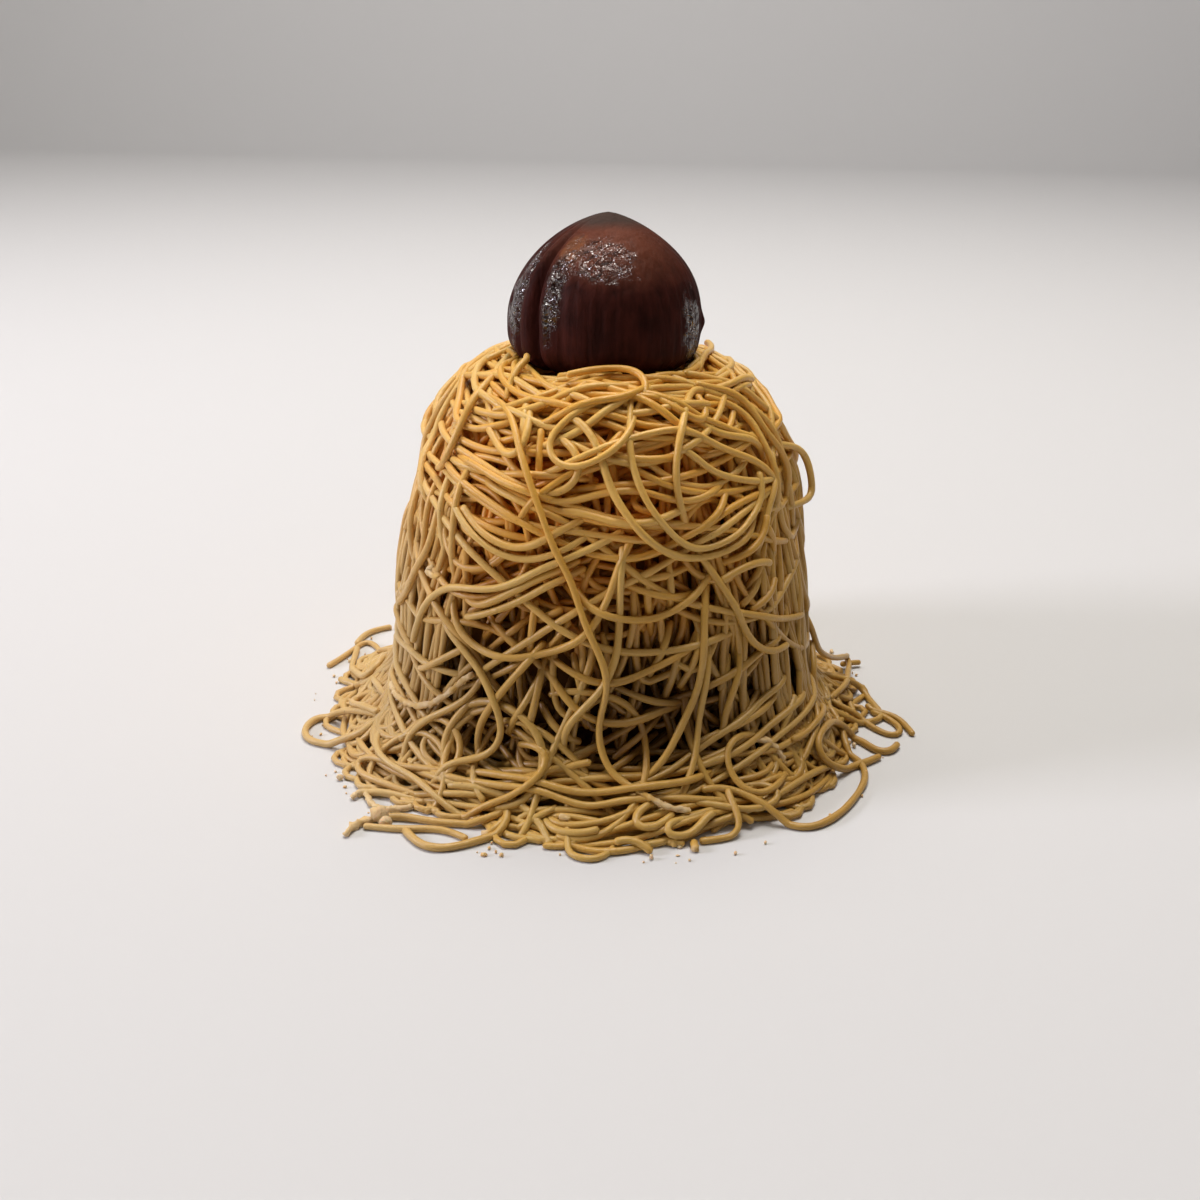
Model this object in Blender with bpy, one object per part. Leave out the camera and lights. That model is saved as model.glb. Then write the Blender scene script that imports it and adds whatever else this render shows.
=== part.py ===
"""A mont blanc cake: thin strands of chestnut cream piled into a bell, with one glazed chestnut on top.

The heap of strands is one solid: a core with an uneven outline, and the strands that stand out
fused on at their true thickness. The chestnut is a second solid, and rests on the heap's flat top.
Azimuths are in degrees round the cake, 0 at the front (-Y) and 90 at the right (+X).
A run is the way along the mound's side, from the middle of its top down to the floor and outwards.
"""

import math
import random

import bmesh
import bpy
from mathutils import Vector

MM = 0.001

# Driving dimensions
MOUND_HEIGHT = 71.2 * MM
MOUND_RADIUS = 44.4 * MM
MOUND_TAPER = 0.265
SHOULDER_SHARPNESS = 9
SHOULDER_ROUNDING = 1 / 3
SKIRT_SPREAD = 9.6 * MM
SKIRT_DEPTH = 7.0 * MM
SKIRT_BLUNTNESS = 1.6
STRAND_RADIUS = 0.72 * MM
LAYER_DEPTH = 1.0 * MM
CHESTNUT_RADIUS = 17.3 * MM
CHESTNUT_DEPTH_SHARE = 0.92
CHESTNUT_HEIGHT = 26.6 * MM
CONTACT_GAP = 0.3 * MM

# How finely the shapes are cut
CORE_RINGS = 18
CORE_SIDES = 36
CURLED_STEP = 3.5 * MM
HANGING_STEP = 5.4 * MM
SQUARE_SECTION_GAIN = 1.14
FLOOR_LIFT = STRAND_RADIUS * SQUARE_SECTION_GAIN + 0.01 * MM
CHESTNUT_RINGS = 22
CHESTNUT_SIDES = 36

# Unevenness of the mound
LUMP = 0.75 * MM
SKIRT_LUMP = 1.6 * MM
TUCK = 1.7 * MM

SEED = 7

STRAND_COLOUR = (0.62, 0.40, 0.15, 1)
CHESTNUT_COLOUR = (0.045, 0.014, 0.009, 1)


def clear_scene():
    for old in list(bpy.data.objects):
        bpy.data.objects.remove(old, do_unlink=True)


def finish_material(name, colour, roughness):
    """A Principled material of one colour."""
    material = bpy.data.materials.new(name)
    material.use_nodes = True
    shader = material.node_tree.nodes["Principled BSDF"]
    shader.inputs["Base Color"].default_value = colour
    shader.inputs["Roughness"].default_value = roughness
    shader.inputs["Metallic"].default_value = 0
    material.diffuse_color = colour
    return material


def mound_radius(height):
    """The bell's radius at a height: a tapered side, a rounded shoulder and a skirt that spreads on the floor."""
    share = min(max(height / MOUND_HEIGHT, 0), 1)
    side = MOUND_RADIUS * (1 - MOUND_TAPER * share)
    shoulder = (1 - share**SHOULDER_SHARPNESS) ** SHOULDER_ROUNDING
    skirt = SKIRT_SPREAD * math.exp(-((height / SKIRT_DEPTH) ** SKIRT_BLUNTNESS))
    return side * shoulder + skirt


def profile_table(steps=900):
    """(run, radius, height) rows from the middle of the top to the skirt's edge on the floor."""
    rows = [(0.0, 0.0, MOUND_HEIGHT)]
    for i in range(1, steps + 1):
        share = i / steps
        height = MOUND_HEIGHT * (1 - share**3)
        radius = mound_radius(height)
        run, last_radius, last_height = rows[-1]
        rows.append((run + math.hypot(radius - last_radius, height - last_height), radius, height))
    return rows


PROFILE = profile_table()
EDGE_RUN = PROFILE[-1][0]
EDGE_RADIUS = PROFILE[-1][1]


def profile_at(run):
    """(radius, height) at a run. Past the skirt's edge it goes on along the floor."""
    if run >= EDGE_RUN:
        return EDGE_RADIUS + run - EDGE_RUN, 0.0
    low, high = 0, len(PROFILE) - 1
    while high - low > 1:
        middle = (low + high) // 2
        if PROFILE[middle][0] <= run:
            low = middle
        else:
            high = middle
    run_low, radius_low, height_low = PROFILE[low]
    run_high, radius_high, height_high = PROFILE[high]
    share = (run - run_low) / (run_high - run_low)
    radius = radius_low + share * (radius_high - radius_low)
    return radius, height_low + share * (height_high - height_low)


def run_at_radius(radius):
    """The run of a point on the floor, at a radius outside the skirt."""
    return EDGE_RUN + radius - EDGE_RADIUS


def lump(azimuth, run):
    """How far the mound stands out from its smooth form there: broad lumps, larger along the skirt."""
    turn = math.radians(azimuth)
    share = run / EDGE_RUN
    broad = math.sin(3 * turn + 5 * share + 0.6) + 0.6 * math.sin(5 * turn - 7 * share + 2.1)
    fine = 0.5 * math.sin(9 * turn + 13 * share) + 0.4 * math.sin(14 * turn - 17 * share + 1.0)
    fade = min(1, max(0, share - 0.16) / 0.12)
    return LUMP * fade * (broad + fine)


def skirt_reach(azimuth, run):
    """The share by which the skirt's edge wanders in and out."""
    turn = math.radians(azimuth)
    near_edge = max(0, run / EDGE_RUN - 0.86) / 0.14
    wander = math.sin(4 * turn + 0.4) + 0.7 * math.sin(7 * turn + 2.0) + 0.4 * math.sin(13 * turn)
    return SKIRT_LUMP * near_edge**2 * wander


def surface_point(azimuth, run, lift=0.0):
    """The point at an azimuth and run, lifted off the mound by lift along its normal."""
    step = 0.5 * MM
    radius, height = profile_at(run)
    radius_before, height_before = profile_at(max(run - step, 0))
    radius_after, height_after = profile_at(run + step)
    along = Vector((radius_after - radius_before, height_after - height_before)).normalized()
    out = Vector((-along.y, along.x))
    if run < EDGE_RUN:
        lift = lift + lump(azimuth, run) * min(1, height / (6 * MM))
        radius = radius + skirt_reach(azimuth, run)
    radius = max(radius + out.x * lift, 0)
    height = height + out.y * lift
    turn = math.radians(azimuth)
    return Vector((radius * math.sin(turn), -radius * math.cos(turn), height))


def mesh_object(name, geometry, material):
    mesh = bpy.data.meshes.new(name)
    geometry.to_mesh(mesh)
    geometry.free()
    made = bpy.data.objects.new(name, mesh)
    made.data.materials.append(material)
    bpy.context.scene.collection.objects.link(made)
    return made


def ringed_solid(rings, top, bottom):
    """A closed mesh through rings of points, listed from the top down, with a fan at each end."""
    geometry = bmesh.new()
    top_vertex = geometry.verts.new(top)
    bottom_vertex = geometry.verts.new(bottom)
    loops = [[geometry.verts.new(point) for point in ring] for ring in rings]
    count = len(loops[0])
    for i in range(count):
        j = (i + 1) % count
        geometry.faces.new((top_vertex, loops[0][i], loops[0][j]))
        geometry.faces.new((bottom_vertex, loops[-1][j], loops[-1][i]))
        for upper, lower in zip(loops, loops[1:]):
            geometry.faces.new((upper[i], lower[i], lower[j], upper[j]))
    bmesh.ops.recalc_face_normals(geometry, faces=geometry.faces)
    return geometry


def build_core(material):
    """The mound under the strands, with a flat top for the chestnut and a flat bottom."""
    first_run = CHESTNUT_RADIUS * 0.62
    rings = []
    for i in range(CORE_RINGS):
        share = i / (CORE_RINGS - 1)
        run = first_run + (EDGE_RUN - first_run) * share
        ring = []
        for side in range(CORE_SIDES):
            azimuth = 360 * (side + 0.5 * (i % 2)) / CORE_SIDES
            point = surface_point(azimuth, run, -LAYER_DEPTH * min(1, 6 * (1 - share)))
            if i == 0:
                point.z = MOUND_HEIGHT - LAYER_DEPTH
            if i == CORE_RINGS - 1:
                point.z = 0
            point.z = max(point.z, 0)
            ring.append(point)
        rings.append(ring)
    top = Vector((0, 0, MOUND_HEIGHT - LAYER_DEPTH))
    return mesh_object("strand_heap", ringed_solid(rings, top, Vector((0, 0, 0))), material)


def smooth_route(points, step):
    """Points a step apart along the smooth curve (Catmull-Rom) through the given ones."""
    padded = [2 * points[0] - points[1], *points, 2 * points[-1] - points[-2]]
    fine = []
    pieces = 14
    for a, b, c, d in zip(padded, padded[1:], padded[2:], padded[3:]):
        for i in range(pieces):
            t = i / pieces
            fine.append(
                0.5 * (2 * b + (c - a) * t + (2 * a - 5 * b + 4 * c - d) * t**2 + (3 * b - a - 3 * c + d) * t**3)
            )
    fine.append(points[-1])
    lengths = [0.0]
    for a, b in zip(fine, fine[1:]):
        lengths.append(lengths[-1] + (b - a).length)
    count = max(3, round(lengths[-1] / step))
    route = []
    k = 0
    for i in range(count + 1):
        wanted = lengths[-1] * i / count
        while k < len(fine) - 2 and lengths[k + 1] < wanted:
            k += 1
        share = (wanted - lengths[k]) / max(lengths[k + 1] - lengths[k], 1e-9)
        route.append(fine[k].lerp(fine[k + 1], min(share, 1)))
    return route


def tube(route):
    """A strand of square section along a route, as a mesh object with closed ends."""
    curve = bpy.data.curves.new("strand", "CURVE")
    curve.dimensions = "3D"
    curve.bevel_depth = STRAND_RADIUS * SQUARE_SECTION_GAIN
    curve.bevel_resolution = 0
    curve.use_fill_caps = True
    spline = curve.splines.new("POLY")
    spline.points.add(len(route) - 1)
    for target, point in zip(spline.points, route):
        target.co = (*point, 1)
    drawn = bpy.data.objects.new("strand", curve)
    bpy.context.scene.collection.objects.link(drawn)
    bpy.context.view_layer.update()
    graph = bpy.context.evaluated_depsgraph_get()
    mesh = bpy.data.meshes.new_from_object(drawn.evaluated_get(graph))
    bpy.data.objects.remove(drawn)
    geometry = bmesh.new()
    geometry.from_mesh(mesh)
    bmesh.ops.remove_doubles(geometry, verts=geometry.verts, dist=1e-6)
    bmesh.ops.recalc_face_normals(geometry, faces=geometry.faces)
    geometry.to_mesh(mesh)
    geometry.free()
    return bpy.data.objects.new("strand", mesh)


def lying_height(point):
    """The same point, no lower than a strand that lies on the floor."""
    return Vector((point.x, point.y, max(point.z, FLOOR_LIFT)))


def on_mound(places, lift, step=CURLED_STEP):
    """A route through (azimuth, run) places on the mound, with both ends tucked into the core."""
    last = len(places) - 1
    points = []
    for i, (azimuth, run) in enumerate(places):
        tucked = i in (0, last) and run < EDGE_RUN
        points.append(lying_height(surface_point(azimuth, run, -TUCK if tucked else lift)))
    return smooth_route(points, step)


def swags(draw):
    """Strands that hang from the shoulder, turn in a U on the side and go back up."""
    routes = []
    count = 12
    for i in range(count):
        centre = 360 * i / count + draw.uniform(-8, 8)
        half_width = draw.uniform(16, 29)
        top = draw.uniform(27, 35) * MM
        depth = draw.uniform(16, 45) * MM
        lean = draw.uniform(-7, 7) * MM
        places = []
        for j in range(11):
            turn = math.pi * j / 10
            azimuth = centre - half_width * math.cos(turn)
            places.append((azimuth, top + depth * math.sin(turn) + lean * math.cos(turn)))
        routes.append(on_mound(places, draw.uniform(0.0, 0.35) * MM))
    return routes


def falls(draw):
    """Strands that run over the shoulder and down the side, and out along the floor."""
    routes = []
    count = 12
    for i in range(count):
        start = 360 * (i + 0.5) / count + draw.uniform(-9, 9)
        sway = draw.uniform(4, 9) * draw.choice((-1, 1))
        phase = draw.uniform(0, 2)
        first = draw.uniform(23, 32) * MM
        last = EDGE_RUN + draw.uniform(-4, 2) * MM
        places = []
        for j in range(9):
            share = j / 8
            azimuth = start + sway * math.sin(phase + 4.2 * share)
            places.append((azimuth, first + (last - first) * share))
        routes.append(on_mound(places, draw.uniform(0.0, 0.3) * MM, HANGING_STEP))
    return routes


def slanting_strands(draw):
    """Strands that cross the side at a slant, lower down than most swags."""
    routes = []
    count = 5
    for i in range(count):
        start = 360 * i / count + draw.uniform(-15, 15)
        span = draw.uniform(40, 62) * draw.choice((-1, 1))
        first = draw.uniform(45, 58) * MM
        drop = draw.uniform(14, 30) * MM
        places = []
        for j in range(7):
            share = j / 6
            sag = 7 * MM * math.sin(math.pi * share)
            places.append((start + span * share, first + drop * share + sag))
        routes.append(on_mound(places, draw.uniform(0.0, 0.3) * MM, HANGING_STEP))
    return routes


def skirt_arcs(draw):
    """Strands that lie round the foot of the mound, heaped on the skirt."""
    routes = []
    count = 9
    for i in range(count):
        start = 360 * i / count + draw.uniform(-8, 8)
        span = draw.uniform(40, 60)
        inner = EDGE_RUN - draw.uniform(9, 14) * MM
        swell = draw.uniform(6, 10) * MM
        places = []
        for j in range(9):
            share = j / 8
            places.append((start + span * share, inner + swell * math.sin(math.pi * share) ** 2))
        routes.append(on_mound(places, draw.uniform(0.0, 0.4) * MM))
    return routes


def floor_loop(azimuth, radius, loop_radius):
    """A strand that leaves the skirt, lies on the floor in a round loop and goes back under the heap."""
    turn = math.radians(azimuth)
    out = Vector((math.sin(turn), -math.cos(turn), 0))
    side = Vector((out.y, -out.x, 0))
    centre = out * radius
    places = [centre - out * (loop_radius * 2.2) - side * loop_radius * 0.5]
    for i in range(9):
        swing = math.pi * (-0.62 + 1.24 * i / 8)
        places.append(centre + out * (loop_radius * math.cos(swing)) + side * (loop_radius * math.sin(swing)))
    places.append(centre - out * (loop_radius * 2.2) + side * loop_radius * 0.5)
    for place in places:
        place.z = FLOOR_LIFT
    return smooth_route(places, CURLED_STEP)


def floor_arc(places):
    """A strand that lies on the floor through (azimuth, radius in mm) places."""
    points = []
    for azimuth, radius in places:
        turn = math.radians(azimuth)
        reach = radius * MM
        points.append(Vector((reach * math.sin(turn), -reach * math.cos(turn), FLOOR_LIFT)))
    return smooth_route(points, CURLED_STEP)


def stray_strands():
    """The strands that lie loose on the floor beyond the skirt, where the real ones do."""
    return [
        floor_loop(-75, 52.0 * MM, 5.8 * MM),
        floor_loop(69, 52.5 * MM, 5.8 * MM),
        floor_loop(-24, 51.0 * MM, 5.4 * MM),
        floor_loop(157, 51.0 * MM, 5.6 * MM),
        floor_arc([(12, 49), (22, 54.5), (36, 58.5), (50, 57), (60, 49)]),
        floor_arc([(84, 49), (81, 57), (78.8, 63.2)]),
        floor_arc([(110, 49), (109, 56), (108.4, 60.8)]),
        floor_arc([(-98, 48), (-100, 54), (-104.3, 58.6)]),
        floor_arc([(-48, 50), (-41, 56.5), (-30, 58), (-18, 55), (-12, 49)]),
        floor_arc([(-141, 48), (-136, 58), (-124, 60), (-112, 49)]),
    ]


def side_loop():
    """The loop that stands off the right side, high up."""
    places = []
    for i in range(9):
        share = i / 8
        places.append((74 + 24 * share, (38 + 22 * share) * MM))
    points = []
    for i, (azimuth, run) in enumerate(places):
        bow = math.sin(math.pi * i / 8)
        points.append(surface_point(azimuth, run, -TUCK + (TUCK + 2.4 * MM) * bow**0.6))
    return smooth_route(points, CURLED_STEP)


def top_strands(draw):
    """Strands that lie round the chestnut on the mound's top and its shoulder."""
    routes = []
    for start, span, run in (
        (-80, 120, 24.0),
        (35, 105, 23.0),
        (150, 105, 24.0),
        (-40, 95, 32.0),
        (85, 90, 31.0),
        (205, 90, 32.0),
    ):
        places = []
        for i in range(7):
            share = i / 6
            places.append((start + span * share, (run + 3.2 * math.cos(5 * share + start)) * MM))
        routes.append(on_mound(places, draw.uniform(0.1, 0.4) * MM))
    return routes


def fuse(core, pieces):
    """Joins the pieces to the core with one Boolean union, and removes them."""
    gathered = bpy.data.collections.new("strands")
    bpy.context.scene.collection.children.link(gathered)
    for piece in pieces:
        gathered.objects.link(piece)
    union = core.modifiers.new("fuse", "BOOLEAN")
    union.operation = "UNION"
    union.operand_type = "COLLECTION"
    union.collection = gathered
    union.solver = "MANIFOLD"
    bpy.context.view_layer.update()
    graph = bpy.context.evaluated_depsgraph_get()
    fused = bpy.data.meshes.new_from_object(core.evaluated_get(graph))
    core.modifiers.clear()
    core.data = fused
    for piece in pieces:
        bpy.data.objects.remove(piece, do_unlink=True)
    bpy.data.collections.remove(gathered)


def keep_outer_body(made):
    """Keeps the largest closed surface: drops loose scraps, and so fills hollows that the fusing sealed."""
    geometry = bmesh.new()
    geometry.from_mesh(made.data)
    bmesh.ops.triangulate(geometry, faces=geometry.faces)
    unseen = set(geometry.verts)
    groups = []
    while unseen:
        stack = [unseen.pop()]
        group = set(stack)
        while stack:
            for edge in stack.pop().link_edges:
                for vertex in edge.verts:
                    if vertex in unseen:
                        unseen.discard(vertex)
                        group.add(vertex)
                        stack.append(vertex)
        groups.append(group)
    largest = max(groups, key=len)
    loose = [vertex for group in groups if group is not largest for vertex in group]
    bmesh.ops.delete(geometry, geom=loose, context="VERTS")
    geometry.to_mesh(made.data)
    geometry.free()


def build_heap(material):
    draw = random.Random(SEED)
    core = build_core(material)
    routes = [
        *swags(draw),
        *falls(draw),
        *slanting_strands(draw),
        *skirt_arcs(draw),
        *top_strands(draw),
        *stray_strands(),
        side_loop(),
    ]
    fuse(core, [tube(route) for route in routes])
    keep_outer_body(core)
    core.data.materials.clear()
    core.data.materials.append(material)
    return core


def chestnut_outline(share):
    """The chestnut's radius, as a share of its largest, at a share of its height."""
    widest = 0.28
    if share >= widest:
        rise = (share - widest) / (1 - widest)
        return max(1 - rise**2.3, 0) ** 0.72
    return 1 - 0.23 * ((widest - share) / widest) ** 4


def chestnut_relief(azimuth, share):
    """Ribs and the two grooves that run down the chestnut, as a share of its radius."""
    turn = math.radians(azimuth)
    body = math.sin(math.pi * min(share + 0.12, 1)) ** 0.6
    ribs = 0.006 * math.sin(11 * turn + 1.5 * share) + 0.004 * math.sin(19 * turn - 2 * share)
    grooves = 0.0
    for place, depth, width in ((-45, 0.075, 6.0), (-68, 0.035, 5.0), (118, 0.05, 6.0), (205, 0.04, 7.0)):
        off = (azimuth - place + 180) % 360 - 180
        grooves -= depth * math.exp(-((off / width) ** 2))
    return body * (ribs + grooves)


def build_chestnut(material):
    """The whole peeled chestnut, point up, on the flat top of the heap."""
    base = MOUND_HEIGHT - LAYER_DEPTH + CONTACT_GAP
    rings = []
    for i in range(CHESTNUT_RINGS):
        swing = math.pi / 2 * (1 - i / (CHESTNUT_RINGS - 1))
        share = math.sin(swing) ** 1.25 * 0.992
        ring = []
        for side in range(CHESTNUT_SIDES):
            azimuth = 360 * side / CHESTNUT_SIDES
            turn = math.radians(azimuth)
            radius = CHESTNUT_RADIUS * chestnut_outline(share) * (1 + chestnut_relief(azimuth, share))
            ring.append(
                Vector(
                    (
                        radius * math.sin(turn),
                        -radius * math.cos(turn) * CHESTNUT_DEPTH_SHARE,
                        base + CHESTNUT_HEIGHT * share,
                    )
                )
            )
        rings.append(ring)
    top = Vector((0, 0, base + CHESTNUT_HEIGHT))
    return mesh_object("chestnut", ringed_solid(rings, top, Vector((0, 0, base))), material)


def main():
    clear_scene()
    heap = build_heap(finish_material("chestnut_cream", STRAND_COLOUR, 0.5))
    chestnut = build_chestnut(finish_material("glazed_chestnut", CHESTNUT_COLOUR, 0.2))
    chestnut.data.shade_smooth()
    heap.data.set_sharp_from_angle(angle=math.radians(40))


main()
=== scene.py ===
"""The looks of a mont blanc cake: thousands of turns of thin chestnut cream strands, and a glazed chestnut.

Every strand is laid over the ones before it, on a height map of the mound that is kept up to date
as they are laid, so strands cross over and under each other and leave gaps, as poured ones do.
Azimuths run round the cake from the front, to the right. A run is the way down the mound's side
from the middle of its top. Sizes and places are in millimetres until a mesh is made.
"""

import math

import bmesh
import bpy
import numpy as np
from bpy.props import FloatProperty, FloatVectorProperty, IntProperty, PointerProperty
from mathutils import Matrix, Vector


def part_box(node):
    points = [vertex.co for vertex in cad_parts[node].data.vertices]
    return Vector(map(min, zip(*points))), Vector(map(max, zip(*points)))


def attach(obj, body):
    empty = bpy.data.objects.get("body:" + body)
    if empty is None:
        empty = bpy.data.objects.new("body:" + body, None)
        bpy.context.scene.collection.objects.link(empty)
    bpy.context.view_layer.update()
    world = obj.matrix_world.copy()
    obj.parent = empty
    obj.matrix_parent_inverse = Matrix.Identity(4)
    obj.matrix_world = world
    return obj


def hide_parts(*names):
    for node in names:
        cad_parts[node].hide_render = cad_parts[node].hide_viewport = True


bl_info = {
    "name": "Mont Blanc Cake",
    "version": (1, 0, 0),
    "blender": (4, 5, 0),
    "location": "View3D > Sidebar > Cake",
    "description": "Lays the cream strands of a mont blanc and glazes its chestnut",
    "category": "Object",
}

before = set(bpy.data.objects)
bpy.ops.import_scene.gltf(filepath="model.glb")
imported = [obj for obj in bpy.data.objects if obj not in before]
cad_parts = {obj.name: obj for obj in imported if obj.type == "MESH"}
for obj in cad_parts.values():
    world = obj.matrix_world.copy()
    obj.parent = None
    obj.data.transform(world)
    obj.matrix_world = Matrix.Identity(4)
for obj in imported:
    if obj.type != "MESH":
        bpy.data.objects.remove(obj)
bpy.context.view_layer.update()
CHESTNUT_LOW, CHESTNUT_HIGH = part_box("chestnut")

MM = 0.001
TURN = 2 * math.pi

# Mound, as in the solid
MOUND_HEIGHT = 71.2
MOUND_RADIUS = 44.4
MOUND_TAPER = 0.265
SHOULDER_SHARPNESS = 9
SHOULDER_ROUNDING = 1 / 3
SKIRT_SPREAD = 9.6
SKIRT_DEPTH = 7.0
SKIRT_BLUNTNESS = 1.6
LUMP = 0.75
SKIRT_LUMP = 1.6

# How far the left flank stands back above the skirt, at what azimuth and height, and how far it spreads
SET_BACK = 2.4
SET_BACK_AZIMUTH, SET_BACK_WIDTH = -1.5, 0.6
SET_BACK_HEIGHT, SET_BACK_RISE = 14, 11

# Chestnut: its largest radius, where that is as a share of its height, and its depth for its width
CHESTNUT_RADIUS = 17.3
CHESTNUT_WIDEST = 0.28
CHESTNUT_DEPTH = 0.92

# Azimuth, lean, depth and half width of each groove; a negative depth is a ridge
CHESTNUT_GROOVES = (
    (-49, -7, 1.9, 3.2),
    (-57, -5, -0.4, 4.5),
    (-65, -4, 0.75, 2.6),
    (-82, -3, 0.45, 4.0),
    (-39, -8, -0.35, 4.5),
    (-28, -9, 0.3, 4.5),
    (118, 5, 0.9, 4.5),
    (163, 3, 0.5, 4.0),
    (206, -4, 0.8, 4.5),
    (243, 4, 0.45, 3.5),
)

# Height map, and paths over it
PATH_STEP = 0.5
MAP_TURN_CELLS = 720
MAP_RUN_STEP = 0.4
MAP_RUN_CELLS = 380
TUCK_LENGTH = 7.0
STIFFENING_STRIDES = (16, 11, 8, 6, 4, 3, 2, 1, 6, 3, 1)
# What is left of the height above the cap, and how much of a strand's thickness holds up the next
PRESSED_SHARE = 0.25
SETTLED_SHARE = 0.95
# How sharply a path turns back from the chestnut and from past the skirt's edge
TOP_TURN, EDGE_TURN = 0.14, 0.18

# Front: its middle azimuth and its width, and the runs where strands hang far apart low on it
FRONT_MIDDLE, FRONT_WIDTH = -0.04, 0.62
OPEN_FROM, OPEN_TO = (54, 66), (88, 96)

# Skin of a strand: how far its last rings and its tips stand out, how thin the last rings are, and how
# uneven it is where it is whole and where it is broken
END_RING, END_TIP, END_WIDTH = 0.32, 0.55, 0.72
WHOLE_SKIN, BROKEN_SKIN = 0.008, 0.24

# Camera of the photograph, in the cake's frame
CAMERA_PLACE = (-3.4, -234.3, 122.7)
CAMERA_PITCH = math.radians(23.02)
CAMERA_YAW = math.radians(0.84)
CAMERA_ROLL = math.radians(1.28)
FOCAL_PIXELS = 1288.0
IMAGE_PIXELS = 1200
SENSOR_WIDTH = 36.0

# Distances from the camera that hold the cake, and how far back the floor shows past it
RAY_WAYS = np.linspace(150, 340, 1500)
FLOOR_SEEN = 40.0

SEED = 11

# Name, place and target in metres, size, power and colour of each light
LIGHTS = (
    ("ceiling_light", (-0.04, 0.14, 0.9), (0, 0, 0.06), 0.85, 4.7, (1.0, 0.965, 0.91)),
    ("lamp_light", (0.05, 0.05, 0.9), (0, 0, 0.06), 0.08, 1.65, (1.0, 0.97, 0.92)),
    ("window_light", (-0.8, -0.14, 0.36), (0, 0, 0.06), 0.2, 4.4, (0.88, 0.87, 1.0)),
    ("backdrop_light", (0.0, 0.5, 1.5), (0, 1.35, 0.1), 0.9, 10.5, (1.0, 0.98, 0.96)),
)


class CakeSizes(bpy.types.PropertyGroup):
    """Sizes of the strands and of the heap."""

    strand_width: FloatProperty(
        name="Strand Width", description="How thick a strand is", default=0.00129, unit="LENGTH"
    )
    sink: FloatProperty(
        name="Sink", description="How far a strand presses into the ones below", default=0.0003,
        unit="LENGTH",
    )
    inner_length: FloatProperty(
        name="Inner Length", description="Length of strand in the layers that fill the mound", default=30.0,
        unit="LENGTH",
    )
    seed: IntProperty(name="Seed", description="Start of the random draws", default=SEED)


class CakeColours(bpy.types.PropertyGroup):
    """Colours of the cream, the chestnut and the stage."""

    cream: FloatVectorProperty(
        name="Cream", description="Chestnut cream", default=(0.76, 0.482, 0.13), subtype="COLOR", size=3
    )
    cream_deep: FloatVectorProperty(
        name="Deep Cream", description="Darker strands", default=(0.72, 0.365, 0.047), subtype="COLOR",
        size=3,
    )
    cream_shade: FloatVectorProperty(
        name="Shaded Cream", description="Strands deep in the heap, lit through the others",
        default=(0.88, 0.345, 0.024), subtype="COLOR", size=3,
    )
    # Painted shade: strands low on the heap are mixed towards this darker colour.
    cream_painted_low_shade: FloatVectorProperty(
        name="Cool Cream", description="Strands that hang low on the heap", default=(0.45, 0.284, 0.07),
        subtype="COLOR", size=3,
    )
    # Painted shade: deep strands in the foot of the heap, and the lower right flank, are mixed towards this
    # dark colour.
    cream_painted_dark_shade: FloatVectorProperty(
        name="Low Cream", description="Strands deep in the foot of the heap", default=(0.24, 0.108, 0.012),
        subtype="COLOR", size=3,
    )
    # Painted shade: the core under the strands is given the colour that the deep gaps show in shade.
    core: FloatVectorProperty(
        name="Core", description="What shows deep in the gaps", default=(0.55, 0.19, 0.018),
        subtype="COLOR", size=3,
    )
    chestnut: FloatVectorProperty(
        name="Chestnut", description="Glazed inner skin", default=(0.06, 0.013, 0.0085), subtype="COLOR",
        size=3,
    )
    # Painted shade: the grooves are darker, as the creases are in shade; the skin there is a little redder.
    groove: FloatVectorProperty(
        name="Groove", description="Redder skin in the grooves", default=(0.04, 0.008, 0.006),
        subtype="COLOR", size=3,
    )
    # Painted light: the upper front of the skin, towards the point, is lighter and redder where the light
    # from above falls on it.
    upper_painted_light: FloatVectorProperty(
        name="Upper Skin", description="Redder skin near the point", default=(0.16, 0.045, 0.022),
        subtype="COLOR", size=3,
    )
    worn: FloatVectorProperty(
        name="Worn Skin", description="Patch near the point where the skin is thin",
        default=(0.2, 0.07, 0.026), subtype="COLOR", size=3,
    )
    tip: FloatVectorProperty(
        name="Point", description="The chestnut's matte point", default=(0.062, 0.039, 0.031),
        subtype="COLOR", size=3,
    )
    # Crumbs and broken ends take this colour, and it is also the painted light mixed into the left flank of
    # the cream.
    crumb: FloatVectorProperty(
        name="Crumb", description="Crumbs and broken ends", default=(0.74, 0.56, 0.33), subtype="COLOR",
        size=3,
    )
    floor: FloatVectorProperty(
        name="Floor", description="The pale floor and walls", default=(0.66, 0.65, 0.64), subtype="COLOR",
        size=3,
    )


# The mound's surface


def bell(value, middle, width):
    return np.exp(-(((value - middle) / width) ** 2))


def mound_radius(height):
    share = np.clip(height / MOUND_HEIGHT, 0, 1)
    side = MOUND_RADIUS * (1 - MOUND_TAPER * share)
    shoulder = (1 - share**SHOULDER_SHARPNESS) ** SHOULDER_ROUNDING
    return side * shoulder + SKIRT_SPREAD * np.exp(-((height / SKIRT_DEPTH) ** SKIRT_BLUNTNESS))


def profile_table(steps=1600):
    """Columns of run, radius and height, from the middle of the top down to the floor."""
    share = np.arange(steps + 1) / steps
    height = MOUND_HEIGHT * (1 - share**3)
    radius = mound_radius(height)
    radius[0] = 0
    run = np.concatenate([[0], np.cumsum(np.hypot(np.diff(radius), np.diff(height)))])
    return run, radius, height


RUN_ROWS, RADIUS_ROWS, HEIGHT_ROWS = profile_table()
EDGE_RUN = RUN_ROWS[-1]


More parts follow.
